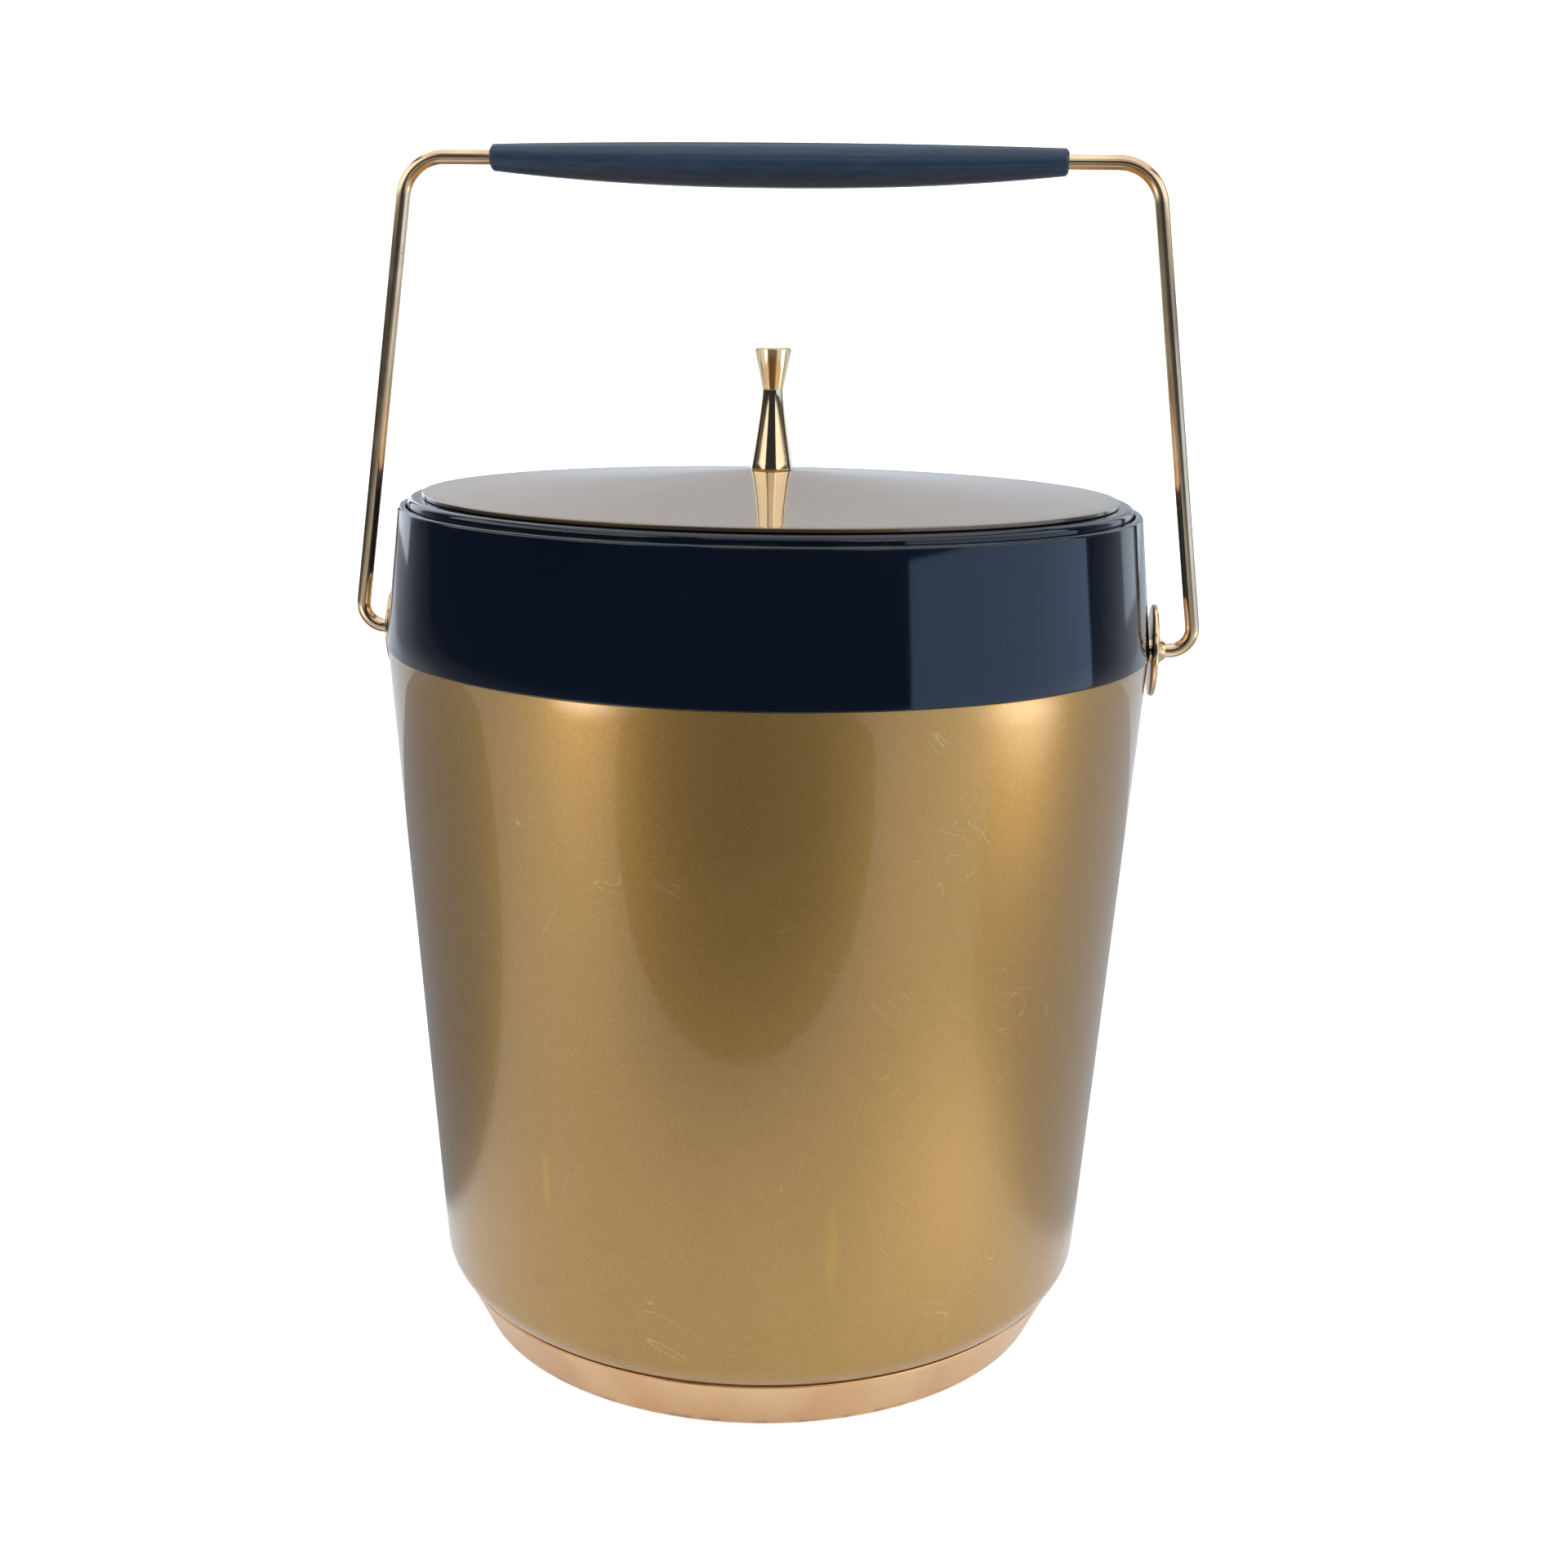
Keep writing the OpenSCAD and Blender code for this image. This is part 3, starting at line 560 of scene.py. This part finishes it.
def zinc_steel():
    """Bright zinc plate on the fasteners, with a milky bloom and tool marks."""
    material, tree, shader = finish("zinc_steel", metallic=1.0)
    bloom = noise(tree, position(tree), 500, detail=4.0)
    tone = blended(tree, spread(tree, bloom, 0.35, 0.7), (0.66, 0.67, 0.66), (0.47, 0.48, 0.49))
    specks = use(tree, SPECKS, scale=900, amount=0.05)
    tone = blended(tree, sums(tree, "MULTIPLY", specks, 0.6), tone, (0.2, 0.12, 0.07))
    feed(tree, shader.inputs["Base Color"], tone)
    feed(tree, shader.inputs["Roughness"], spread(tree, bloom, 0.3, 0.8, 0.25, 0.5))
    raised(tree, shader, noise(tree, position(tree, (1, 1, 8)), 900), 8e-6)
    return material


GOLD = gold_lacquer()
COPPER = copper_gold()
NAVY = navy_gloss()
GRIP_NAVY = grip_navy()
BRASS = brass("polished_brass", (0.93, 0.74, 0.47), (0.85, 0.62, 0.37), 0.09)
SATIN_BRASS = brass("satin_brass", (0.86, 0.66, 0.42), (0.66, 0.45, 0.27), 0.18)
WHITE = white_plastic()
DARK = dark_plastic()
FOAM = foam()
ZINC = zinc_steel()


# ---------------------------------------------------------------- bucket


def foot():
    """Spun foot ring: leaning outer wall, hem turned in below, neck and flange above."""
    hem_t, wall, neck_in = 1.2, 1.5, 1.6
    flange_r = BASE_R - 10.2
    slope = (FOOT_TOP_R - FOOT_BASE_R) / FOOT_H
    spun_ring = spun(drawn([
        (FOOT_BASE_R - HEM_W, 0, 0.4), (FOOT_BASE_R, 0, 0.8),
        (FOOT_TOP_R, FOOT_H, 0.6), (FOOT_TOP_R - neck_in, FOOT_H, 0.3),
        (FOOT_TOP_R - neck_in, FLOOR_Z, 0), (flange_r, FLOOR_Z, 0.4), (flange_r, BASE_TOP_Z, 0.4),
        (FOOT_BASE_R + slope * BASE_TOP_Z - wall, BASE_TOP_Z, 1.0),
        (FOOT_BASE_R + slope * hem_t - wall, hem_t, 0.5),
        (FOOT_BASE_R - HEM_W, hem_t, 0.4)], closed=True))
    place(spun_ring, "foot_ring_spun", "bucket", "foot_ring", "copper_gold", COPPER)


def base():
    """Base plate inside the foot ring, with a shallow recessed middle."""
    recess = 0.6
    plate = spun(drawn([
        (0, BASE_LOW_Z + recess, 0), (BASE_R - 14, BASE_LOW_Z + recess, 0.5),
        (BASE_R - 15.2, BASE_LOW_Z, 0.5), (BASE_R, BASE_LOW_Z, 0.6), (BASE_R, BASE_TOP_Z, 0.4),
        (0, BASE_TOP_Z, 0)]))
    place(plate, "base_plate_moulded", "bucket", "base_plate", "dark_plastic", DARK)


def shell():
    """Lacquered shell: flat seat, rounded lower corner, straight flared side up to the seam."""
    inner_side = SHELL_R - SHELL_WALL
    body = spun(drawn([
        (0, FLOOR_Z, 0), (SHELL_SEAT_R, FLOOR_Z, 1.6), (SHELL_CORNER_R, FLOOR_Z + SHELL_CORNER_H, 7.6),
        (SHELL_R, SEAM_Z, 0.3), (inner_side, SEAM_Z, 0.3),
        (SHELL_CORNER_R - SHELL_WALL, FLOOR_Z + SHELL_CORNER_H + 0.3, 6.4),
        (SHELL_SEAT_R - 0.5, FLOOR_Z + SHELL_WALL, 0.6), (0, FLOOR_Z + SHELL_WALL, 0)]))
    place(body, "shell_lacquered", "bucket", "outer_shell", "shell_gold", GOLD)


def liner():
    """Inner bowl with a drafted side, a rounded floor corner and a flange on the collar's ledge."""
    wall, flange_t, corner, ledge_overhang = 2.0, 1.5, 14.0, 2.4
    draft = math.radians(2.3)
    floor_top = LINER_LOW_Z + wall
    mouth_r = LINER_R - LEDGE_W - ledge_overhang
    low_r = mouth_r - (LINER_TOP_Z - floor_top) * math.tan(draft)
    bowl = spun(drawn([
        (0, LINER_LOW_Z, 0), (low_r + wall, LINER_LOW_Z, corner + wall),
        (mouth_r + wall, LINER_TOP_Z - flange_t, 0.3), (LINER_R, LINER_TOP_Z - flange_t, 0.2),
        (LINER_R, LINER_TOP_Z, 0.5), (mouth_r, LINER_TOP_Z, 1.0),
        (low_r, floor_top, corner), (0, floor_top, 0)]))
    place(bowl, "bowl_moulded", "bucket", "inner_liner", "white_plastic", WHITE)


def collar():
    """Moulded collar: tapered side, rounded rim, ledge for the bowl and lid, skirt inside the shell."""
    rim_r = COLLAR_R - RIM_TAPER
    rim_in_r = rim_r - RIM_W
    seat_z = RIM_Z - SEAT_DEPTH
    ledge_t = 2.5
    ledge_z = seat_z - ledge_t
    skirt_r = SHELL_R - SHELL_WALL - NEST_GAP
    skirt_low_r = skirt_r - SIDE_SLOPE * (SEAM_Z - SKIRT_Z)
    skirt_wall = 2.2
    taper = RIM_TAPER / (RIM_Z - SEAM_Z)
    ring = spun(drawn([
        (skirt_low_r, SKIRT_Z, 0.4), (skirt_r, SEAM_Z, 0), (COLLAR_R, SEAM_Z, 0.25),
        (rim_r, RIM_Z, 0.7), (rim_in_r, RIM_Z, 0.3), (rim_in_r, seat_z, 0.3),
        (rim_in_r - LEDGE_W, seat_z, 0.4), (rim_in_r - LEDGE_W, ledge_z, 0.4),
        (COLLAR_R - taper * (ledge_z - SEAM_Z) - COLLAR_WALL, ledge_z, 1.0),
        (skirt_r - skirt_wall, SEAM_Z, 2.0), (skirt_low_r - skirt_wall, SKIRT_Z, 0.4)], closed=True))
    place(ring, "collar_moulded", "bucket", "collar", "navy_plastic", NAVY)


def on_pivot(bm, side, x):
    """Turns a mesh made along Z to lie along the pivot axis, outward on one side."""
    turn = Matrix.Rotation(math.radians(90) * side, 4, "Y")
    there = Matrix.Translation((side * x * MM, 0, PIVOT_Z * MM))
    bmesh.ops.transform(bm, verts=bm.verts, matrix=there @ turn)
    return bm


def pivot(side, word):
    """Round plate and flared bush of one pivot."""
    seat = PLATE_T + PLATE_DOME
    hole_r = BUSH_R + RUN_GAP
    plate = spun(drawn([
        (hole_r, 0, 0), (PLATE_R, 0, 0.65), (PLATE_R, PLATE_T, 0.65), (BUSH_NOSE_R + 1.5, seat, 6.0),
        (hole_r, seat, 0)], closed=True), steps=96)
    place(on_pivot(plate, side, PLATE_X), "pivot_plate_pressed_" + word, "bucket", "pivot_plate_" + word,
          "polished_brass", SATIN_BRASS)
    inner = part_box("pivot_bush_" + word)
    shank = PLATE_X - min(abs(inner[0].x), abs(inner[1].x)) / MM
    tip_r = WIRE_R + 0.6
    flare_steps = 6
    flare = [(tip_r + (BUSH_NOSE_R - tip_r) * (1 - i / flare_steps) ** 1.8,
              seat + BUSH_NOSE * i / flare_steps, 0) for i in range(1, flare_steps)]
    bore_r = WIRE_R + RUN_GAP
    bush = spun(drawn([
        (bore_r, -shank, 0), (BUSH_R, -shank, 0.3), (BUSH_R, seat, 0), (BUSH_NOSE_R, seat, 0.1), *flare,
        (tip_r, seat + BUSH_NOSE, 0.2), (bore_r, seat + BUSH_NOSE, 0.1)], closed=True), steps=72)
    place(on_pivot(bush, side, PLATE_X), "pivot_bush_turned_" + word, "bucket", "pivot_bush_" + word,
          "polished_brass", BRASS)


# ---------------------------------------------------------------- bail


def bail():
    """The bail: one side bent from round wire, from its pin up to the middle of the top, and mirrored."""
    lean_in = (ARM_X * math.cos(ARM_LEAN) - LOW_BEND_R * (1 + math.sin(ARM_LEAN))) / math.cos(ARM_LEAN)
    top_z = BAIL_H - TOP_BEND_R
    top_x = (ARM_X * math.cos(ARM_LEAN) - TOP_BEND_R - top_z * math.sin(ARM_LEAN)) / math.cos(ARM_LEAN)
    away = Vector((math.cos(ARM_LEAN), 0, math.sin(ARM_LEAN)))
    low_centre = Vector((lean_in, 0, LOW_BEND_R))
    top_centre = Vector((top_x, 0, top_z))
    arm = (top_centre + TOP_BEND_R * away) - (low_centre + LOW_BEND_R * away)
    past_clip, chamfer = 1.7, 0.35
    pin_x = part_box("bail_clips")[1].x / MM - past_clip
    pivot_place = Vector((0, 0, PIVOT_Z))

    bm = bmesh.new()
    start = Matrix.Translation((pin_x * MM, 0, PIVOT_Z * MM)) @ Matrix.Rotation(math.radians(90), 4, "Y")
    bmesh.ops.create_circle(bm, cap_ends=True, segments=28, radius=(WIRE_R - chamfer) * MM, matrix=start)
    rim = [edge for edge in bm.edges if edge.is_boundary]
    loop = pushed(bm, rim, (chamfer * MM, 0, 0), WIRE_R / (WIRE_R - chamfer))
    loop = pushed(bm, loop, ((lean_in - pin_x - chamfer) * MM, 0, 0), steps=4)
    loop = swung(bm, loop, (pivot_place + low_centre) * MM, -(math.pi / 2 + ARM_LEAN))
    loop = pushed(bm, loop, arm * MM, steps=24)
    loop = swung(bm, loop, (pivot_place + top_centre) * MM, -(math.pi / 2 - ARM_LEAN))
    pushed(bm, loop, (-top_x * MM, 0, 0), steps=16)
    bmesh.ops.mirror(bm, geom=bm.verts[:] + bm.edges[:] + bm.faces[:], axis="X", merge_dist=0.01 * MM)
    bmesh.ops.recalc_face_normals(bm, faces=bm.faces)
    place(bm, "bail_bent_wire", "bail", "bail_wire", "polished_brass", SATIN_BRASS)


def grip():
    """Spindle grip: a fuller belly below the wire, chamfered ends, and a bore right through."""
    slices, chamfer = 36, 0.6
    bore_r = WIRE_R + RUN_GAP

    def section(t):
        """Middle height and radius of the grip at t, from -1 at one end to 1 at the other."""
        swell = 1 - abs(t) ** 2.2
        top = GRIP_END_R + GRIP_CROWN * swell
        low = GRIP_END_R + GRIP_BELLY * swell
        return (top - low) / 2, (top + low) / 2

    half = GRIP_LEN / 2
    inner = 1 - chamfer / half
    rings = [(-half, 0, bore_r), (-half, 0, GRIP_END_R - chamfer)]
    for i in range(slices + 1):
        t = inner * (2 * i / slices - 1)
        rings.append((t * half, *section(t)))
    rings += [(half, 0, GRIP_END_R - chamfer), (half, 0, bore_r)]

    bm = bmesh.new()
    z = PIVOT_Z + BAIL_H
    first = Matrix.Translation((-half * MM, 0, z * MM)) @ Matrix.Rotation(math.radians(90), 4, "Y")
    bmesh.ops.create_circle(bm, segments=64, radius=bore_r * MM, matrix=first)
    mouth = bm.edges[:]
    loop = mouth
    for (x0, z0, r0), (x1, z1, r1) in zip(rings, rings[1:]):
        loop = pushed(bm, loop, ((x1 - x0) * MM, 0, (z1 - z0) * MM), r1 / r0)
    bmesh.ops.bridge_loops(bm, edges=mouth + loop)
    bmesh.ops.recalc_face_normals(bm, faces=bm.faces)
    place(bm, "grip_moulded", "bail", "grip", "navy_plastic", GRIP_NAVY)


# ---------------------------------------------------------------- lid


def disc_top(r):
    """Height of the lid disc's top face: a flared rise to a flat land under the knob."""
    share = 1 - max(r, DISC_LAND_R) / DISC_R
    rise = (KNOB_Z - DISC_Z - DISC_T) / (1 - DISC_LAND_R / DISC_R) ** DISC_FLARE
    return DISC_Z + DISC_T + rise * share ** DISC_FLARE


def lid_frame():
    """Moulded lid: rounded band, carrier plate, centre boss and the plug's wall."""
    plug_r, plug_wall, plate_t, boss_r, overlap = UNDER_R + 2.15, 2.0, 2.0, 7.0, 8.0
    boss_z = disc_top(boss_r) - DISC_T - NEST_GAP
    plate_z = LID_TOP_Z - plate_t
    low_z = LID_LOW_Z - overlap
    body = spun(drawn([
        (SCREW_HOLE_R, plate_z, 0), (plug_r - plug_wall, plate_z, 1.0), (plug_r - plug_wall, low_z, 0.4),
        (plug_r, low_z, 0.6), (plug_r, LID_LOW_Z, 0.4), (LID_R, LID_LOW_Z, 0.3), (LID_R, LID_TOP_Z, 1.4),
        (boss_r, LID_TOP_Z, 0.4), (boss_r, boss_z, 0.3), (SCREW_HOLE_R, boss_z, 0)], closed=True))
    place(body, "lid_frame_moulded", "lid", "lid_frame", "navy_plastic", NAVY)


def lid_disc():
    """Lacquered metal disc, rising in a flared cone to the knob."""
    steps = 18
    radii = [DISC_R - (DISC_R - DISC_LAND_R) * (i + 1) / steps for i in range(steps)] + [SCREW_HOLE_R]
    top = [(r, disc_top(r), 0) for r in radii]
    under = [(r, z - DISC_T, 0) for r, z, _ in reversed(top)]
    disc = spun(drawn([(DISC_R, DISC_Z, 0.2), (DISC_R, DISC_Z + DISC_T, 0.3), *top, *under], closed=True))
    place(disc, "lid_disc_lacquered", "lid", "lid_disc", "shell_gold", GOLD, crease=30)


def lid_underside():
    """White cup that closes the lid's plug from below."""
    wall, corner = 1.8, 3.0
    cup = spun(drawn([
        (0, UNDER_LOW_Z, 0), (UNDER_R, UNDER_LOW_Z, corner), (UNDER_R, UNDER_TOP_Z, 0.3),
        (UNDER_R - wall, UNDER_TOP_Z, 0.3), (UNDER_R - wall, UNDER_LOW_Z + wall, corner - wall),
        (0, UNDER_LOW_Z + wall, 0)]))
    place(cup, "lid_underside_moulded", "lid", "lid_underside", "white_plastic", WHITE)


def knob():
    """Turned knob: a long hollow-sided cone up to the waist and a short one above it."""
    steps = 12
    lower = [(WAIST_R + (KNOB_R - WAIST_R) * (1 - i / steps) ** 1.25, KNOB_Z + WAIST_H * i / steps, 0)
             for i in range(1, steps)]
    body = spun(drawn([
        (0, KNOB_Z, 0), (KNOB_R, KNOB_Z, 0.35), *lower, (WAIST_R, KNOB_Z + WAIST_H, 0.5),
        (KNOB_CROWN_R, KNOB_TOP_Z, 0.45), (0, KNOB_TOP_Z, 0)]), steps=96)
    place(body, "knob_turned", "lid", "knob", "polished_brass", BRASS)


def carried_over():
    """Finishes of the CAD nodes that stay as they are."""
    for name, material in (("base_screws", ZINC), ("base_nuts", ZINC), ("pivot_nut_left", ZINC),
                           ("pivot_nut_right", ZINC), ("bail_clips", ZINC), ("lid_screw", ZINC),
                           ("lid_washer", ZINC), ("insulation_jacket", FOAM), ("lid_insulation", FOAM)):
        node = frame["nodes"][name]
        node.data.materials.clear()
        node.data.materials.append(material)


foot()
base()
shell()
liner()
collar()
for side, word in ((-1, "left"), (1, "right")):
    pivot(side, word)
bail()
grip()
lid_frame()
lid_disc()
lid_underside()
knob()
carried_over()


# ---------------------------------------------------------------- camera and studio

# How much the floor glows to the camera, and in reflections beside the foot
CAMERA_LIFT = 0.7
FOOT_LIFT = 0.26
# Height of the lowest floor card, and of each one over the last
CARD_Z = 0.002
CARD_STEP = 0.0001


def camera():
    """Camera a little above the rim and to the right of the middle, looking slightly down and left."""
    spot = (0.0527, -0.4862, 0.2557)
    turn_left, tip_down, roll = 0.0991, 0.2353, 0.0164
    lens = bpy.data.cameras.new("camera")
    lens.lens = 44.79
    lens.sensor_width = 36
    lens.clip_start = 0.01
    eye = bpy.data.objects.new("camera", lens)
    bpy.context.scene.collection.objects.link(eye)
    eye.matrix_world = (Matrix.Translation(spot) @ Matrix.Rotation(turn_left, 4, "Z")
                        @ Matrix.Rotation(math.pi / 2 - tip_down, 4, "X") @ Matrix.Rotation(roll, 4, "Z"))
    bpy.context.scene.camera = eye


def seamless():
    """Pale floor and backdrop, lifted to near-white for the camera and bright beside the bucket's foot."""
    material, tree, shader = finish("pale_floor")
    shade = noise(tree, position(tree), 3, detail=2.0)
    feed(tree, shader.inputs["Base Color"], blended(tree, shade, (0.83, 0.86, 0.90), (0.82, 0.85, 0.89)))
    shader.inputs["Roughness"].default_value = 0.9
    shader.inputs["Specular IOR Level"].default_value = 0.0
    rays = tree.nodes.new("ShaderNodeLightPath")
    reach = tree.nodes.new("ShaderNodeVectorMath")
    reach.operation = "LENGTH"
    tree.links.new(position(tree), reach.inputs[0])
    near = spread(tree, reach.outputs["Value"], 0.06, 0.26, FOOT_LIFT, 0.0)
    lift = sums(tree, "MULTIPLY", rays.outputs["Is Glossy Ray"], near)
    seen = spread(tree, reach.outputs["Value"], 0.3, 1.2, CAMERA_LIFT, 1.0)
    lift = sums(tree, "MULTIPLY_ADD", rays.outputs["Is Camera Ray"], seen, lift)
    feed(tree, shader.inputs["Emission Color"], blended(tree, lift, (0, 0, 0), (1, 1, 1)))
    shader.inputs["Emission Strength"].default_value = 1.0
    return material


def sweep():
    """Pale floor that curves up into a backdrop well behind the bucket."""
    width, front, back, height, curve = 6.0, -3.0, 1.6, 2.6, 0.6
    bm = bmesh.new()
    left = -width / 2
    points = [bm.verts.new(p) for p in ((left, front, 0), (left, back, 0), (left, back, height))]
    for start, end in zip(points, points[1:]):
        bm.edges.new((start, end))
    bmesh.ops.bevel(bm, geom=[points[1]], affect="VERTICES", offset=curve, offset_type="OFFSET",
                    segments=16, profile=0.5, material=-1)
    made = bmesh.ops.extrude_edge_only(bm, edges=bm.edges[:])["geom"]
    bmesh.ops.translate(bm, verts=[g for g in made if isinstance(g, bmesh.types.BMVert)], vec=(width, 0, 0))
    bmesh.ops.recalc_face_normals(bm, faces=bm.faces)
    mesh = bpy.data.meshes.new("floor")
    bm.to_mesh(mesh)
    bm.free()
    mesh.shade_smooth()
    mesh.materials.append(seamless())
    floor = bpy.data.objects.new("floor", mesh)
    bpy.context.scene.collection.objects.link(floor)


def softbox(name, spot, target, size, strength, colour=(1, 1, 1)):
    """Soft rectangular light at spot, turned to target; strength is its brightness."""
    light = bpy.data.lights.new(name, "AREA")
    light.shape = "RECTANGLE"
    light.size, light.size_y = size
    light.energy = strength * size[0] * size[1] * math.pi
    light.color = colour
    lamp = bpy.data.objects.new(name, light)
    bpy.context.scene.collection.objects.link(lamp)
    lamp.location = spot
    lamp.rotation_euler = (Vector(target) - Vector(spot)).to_track_quat("-Z", "Y").to_euler()
    lamp.visible_camera = False


def floor_card(order, name, centre, reach, colour, cover=1.0, soft=0.05):
    """Oval card just above the floor that only reflections see; soft is the share that fades out."""
    material = bpy.data.materials.new(name)
    material.use_nodes = True
    tree = material.node_tree
    tree.nodes.clear()
    scaled = position(tree, (1 / reach[0], 1 / reach[1], 0))
    away = tree.nodes.new("ShaderNodeVectorMath")
    away.operation = "LENGTH"
    tree.links.new(scaled, away.inputs[0])
    shown = spread(tree, away.outputs["Value"], 1 - soft, 1.0, cover, 0.0)
    clear = tree.nodes.new("ShaderNodeBsdfTransparent")
    glow = tree.nodes.new("ShaderNodeEmission")
    glow.inputs["Color"].default_value = (*colour, 1)
    mix = tree.nodes.new("ShaderNodeMixShader")
    end = tree.nodes.new("ShaderNodeOutputMaterial")
    tree.links.new(shown, mix.inputs[0])
    tree.links.new(clear.outputs[0], mix.inputs[1])
    tree.links.new(glow.outputs[0], mix.inputs[2])
    tree.links.new(mix.outputs[0], end.inputs[0])
    bm = bmesh.new()
    bmesh.ops.create_circle(bm, cap_ends=True, segments=64, radius=1)
    bmesh.ops.scale(bm, verts=bm.verts, vec=(reach[0], reach[1], 1))
    mesh = bpy.data.meshes.new(name)
    bm.to_mesh(mesh)
    bm.free()
    mesh.materials.append(material)
    card = bpy.data.objects.new(name, mesh)
    card.location = (*centre, CARD_Z + CARD_STEP * order)
    bpy.context.scene.collection.objects.link(card)
    card.visible_camera = False
    card.visible_diffuse = False
    card.visible_shadow = False


def world():
    """White to the camera, a dim even room to everything else."""
    room = bpy.data.worlds.new("studio")
    bpy.context.scene.world = room
    room.use_nodes = True
    tree = room.node_tree
    tree.nodes.clear()
    seen = tree.nodes.new("ShaderNodeBackground")
    seen.inputs["Color"].default_value = (1, 1, 1, 1)
    dim = tree.nodes.new("ShaderNodeBackground")
    dim.inputs["Color"].default_value = (0.03, 0.035, 0.045, 1)
    choose = tree.nodes.new("ShaderNodeMixShader")
    rays = tree.nodes.new("ShaderNodeLightPath")
    end = tree.nodes.new("ShaderNodeOutputWorld")
    tree.links.new(rays.outputs["Is Camera Ray"], choose.inputs[0])
    tree.links.new(dim.outputs[0], choose.inputs[1])
    tree.links.new(seen.outputs[0], choose.inputs[2])
    tree.links.new(choose.outputs[0], end.inputs[0])


camera()
sweep()
world()
softbox("overhead", (0, 0.0, 1.4), (0, 0, 0), (2.0, 2.0), 1.25)
softbox("front_fill", (0.2, -1.3, 1.1), (0, 0, 0), (1.2, 0.5), 0.8)
softbox("left_box", (-1.18, -0.42, 0.86), (0, 0, 0.22), (2.2, 0.78), 1.35)
softbox("right_box", (1.18, -0.42, 0.86), (0, 0, 0.22), (2.2, 0.78), 1.35)
softbox("right_window", (1.27, -0.27, 0.20), (0, 0, 0.2), (1.66, 0.36), 1.05, (0.64, 0.87, 1.27))
softbox("right_back_window", (0.745, 1.06, 0.6), (0, 0, 0.2), (0.6, 1.1), 0.65, (0.85, 1.0, 1.2))
softbox("left_back_window", (-0.78, 1.04, 0.7), (0, 0, 0.2), (0.75, 1.3), 1.0, (0.9, 1.0, 1.15))
floor_card(0, "front_flag", (0, -0.60), (0.35, 0.35), (0.19, 0.18, 0.17), soft=0.03)
floor_card(1, "left_flag", (-0.48, 0.18), (0.46, 0.30), (0.20, 0.20, 0.21), cover=0.85, soft=0.05)
floor_card(2, "right_flag", (0.50, 0.20), (0.46, 0.38), (0.32, 0.32, 0.33), cover=0.7, soft=0.05)
floor_card(3, "left_pool", (-0.56, -0.56), (0.21, 0.19), (11.5, 10.0, 8.0), soft=1.0)
floor_card(4, "right_pool", (0.72, -0.12), (0.24, 0.25), (7.5, 6.6, 5.3), soft=1.0)
floor_card(5, "right_near_pool", (0.16, -0.10), (0.13, 0.10), (1.25, 1.2, 1.1), soft=1.0)

view = bpy.context.scene.view_settings
view.view_transform = "Standard"
view.look = "None"
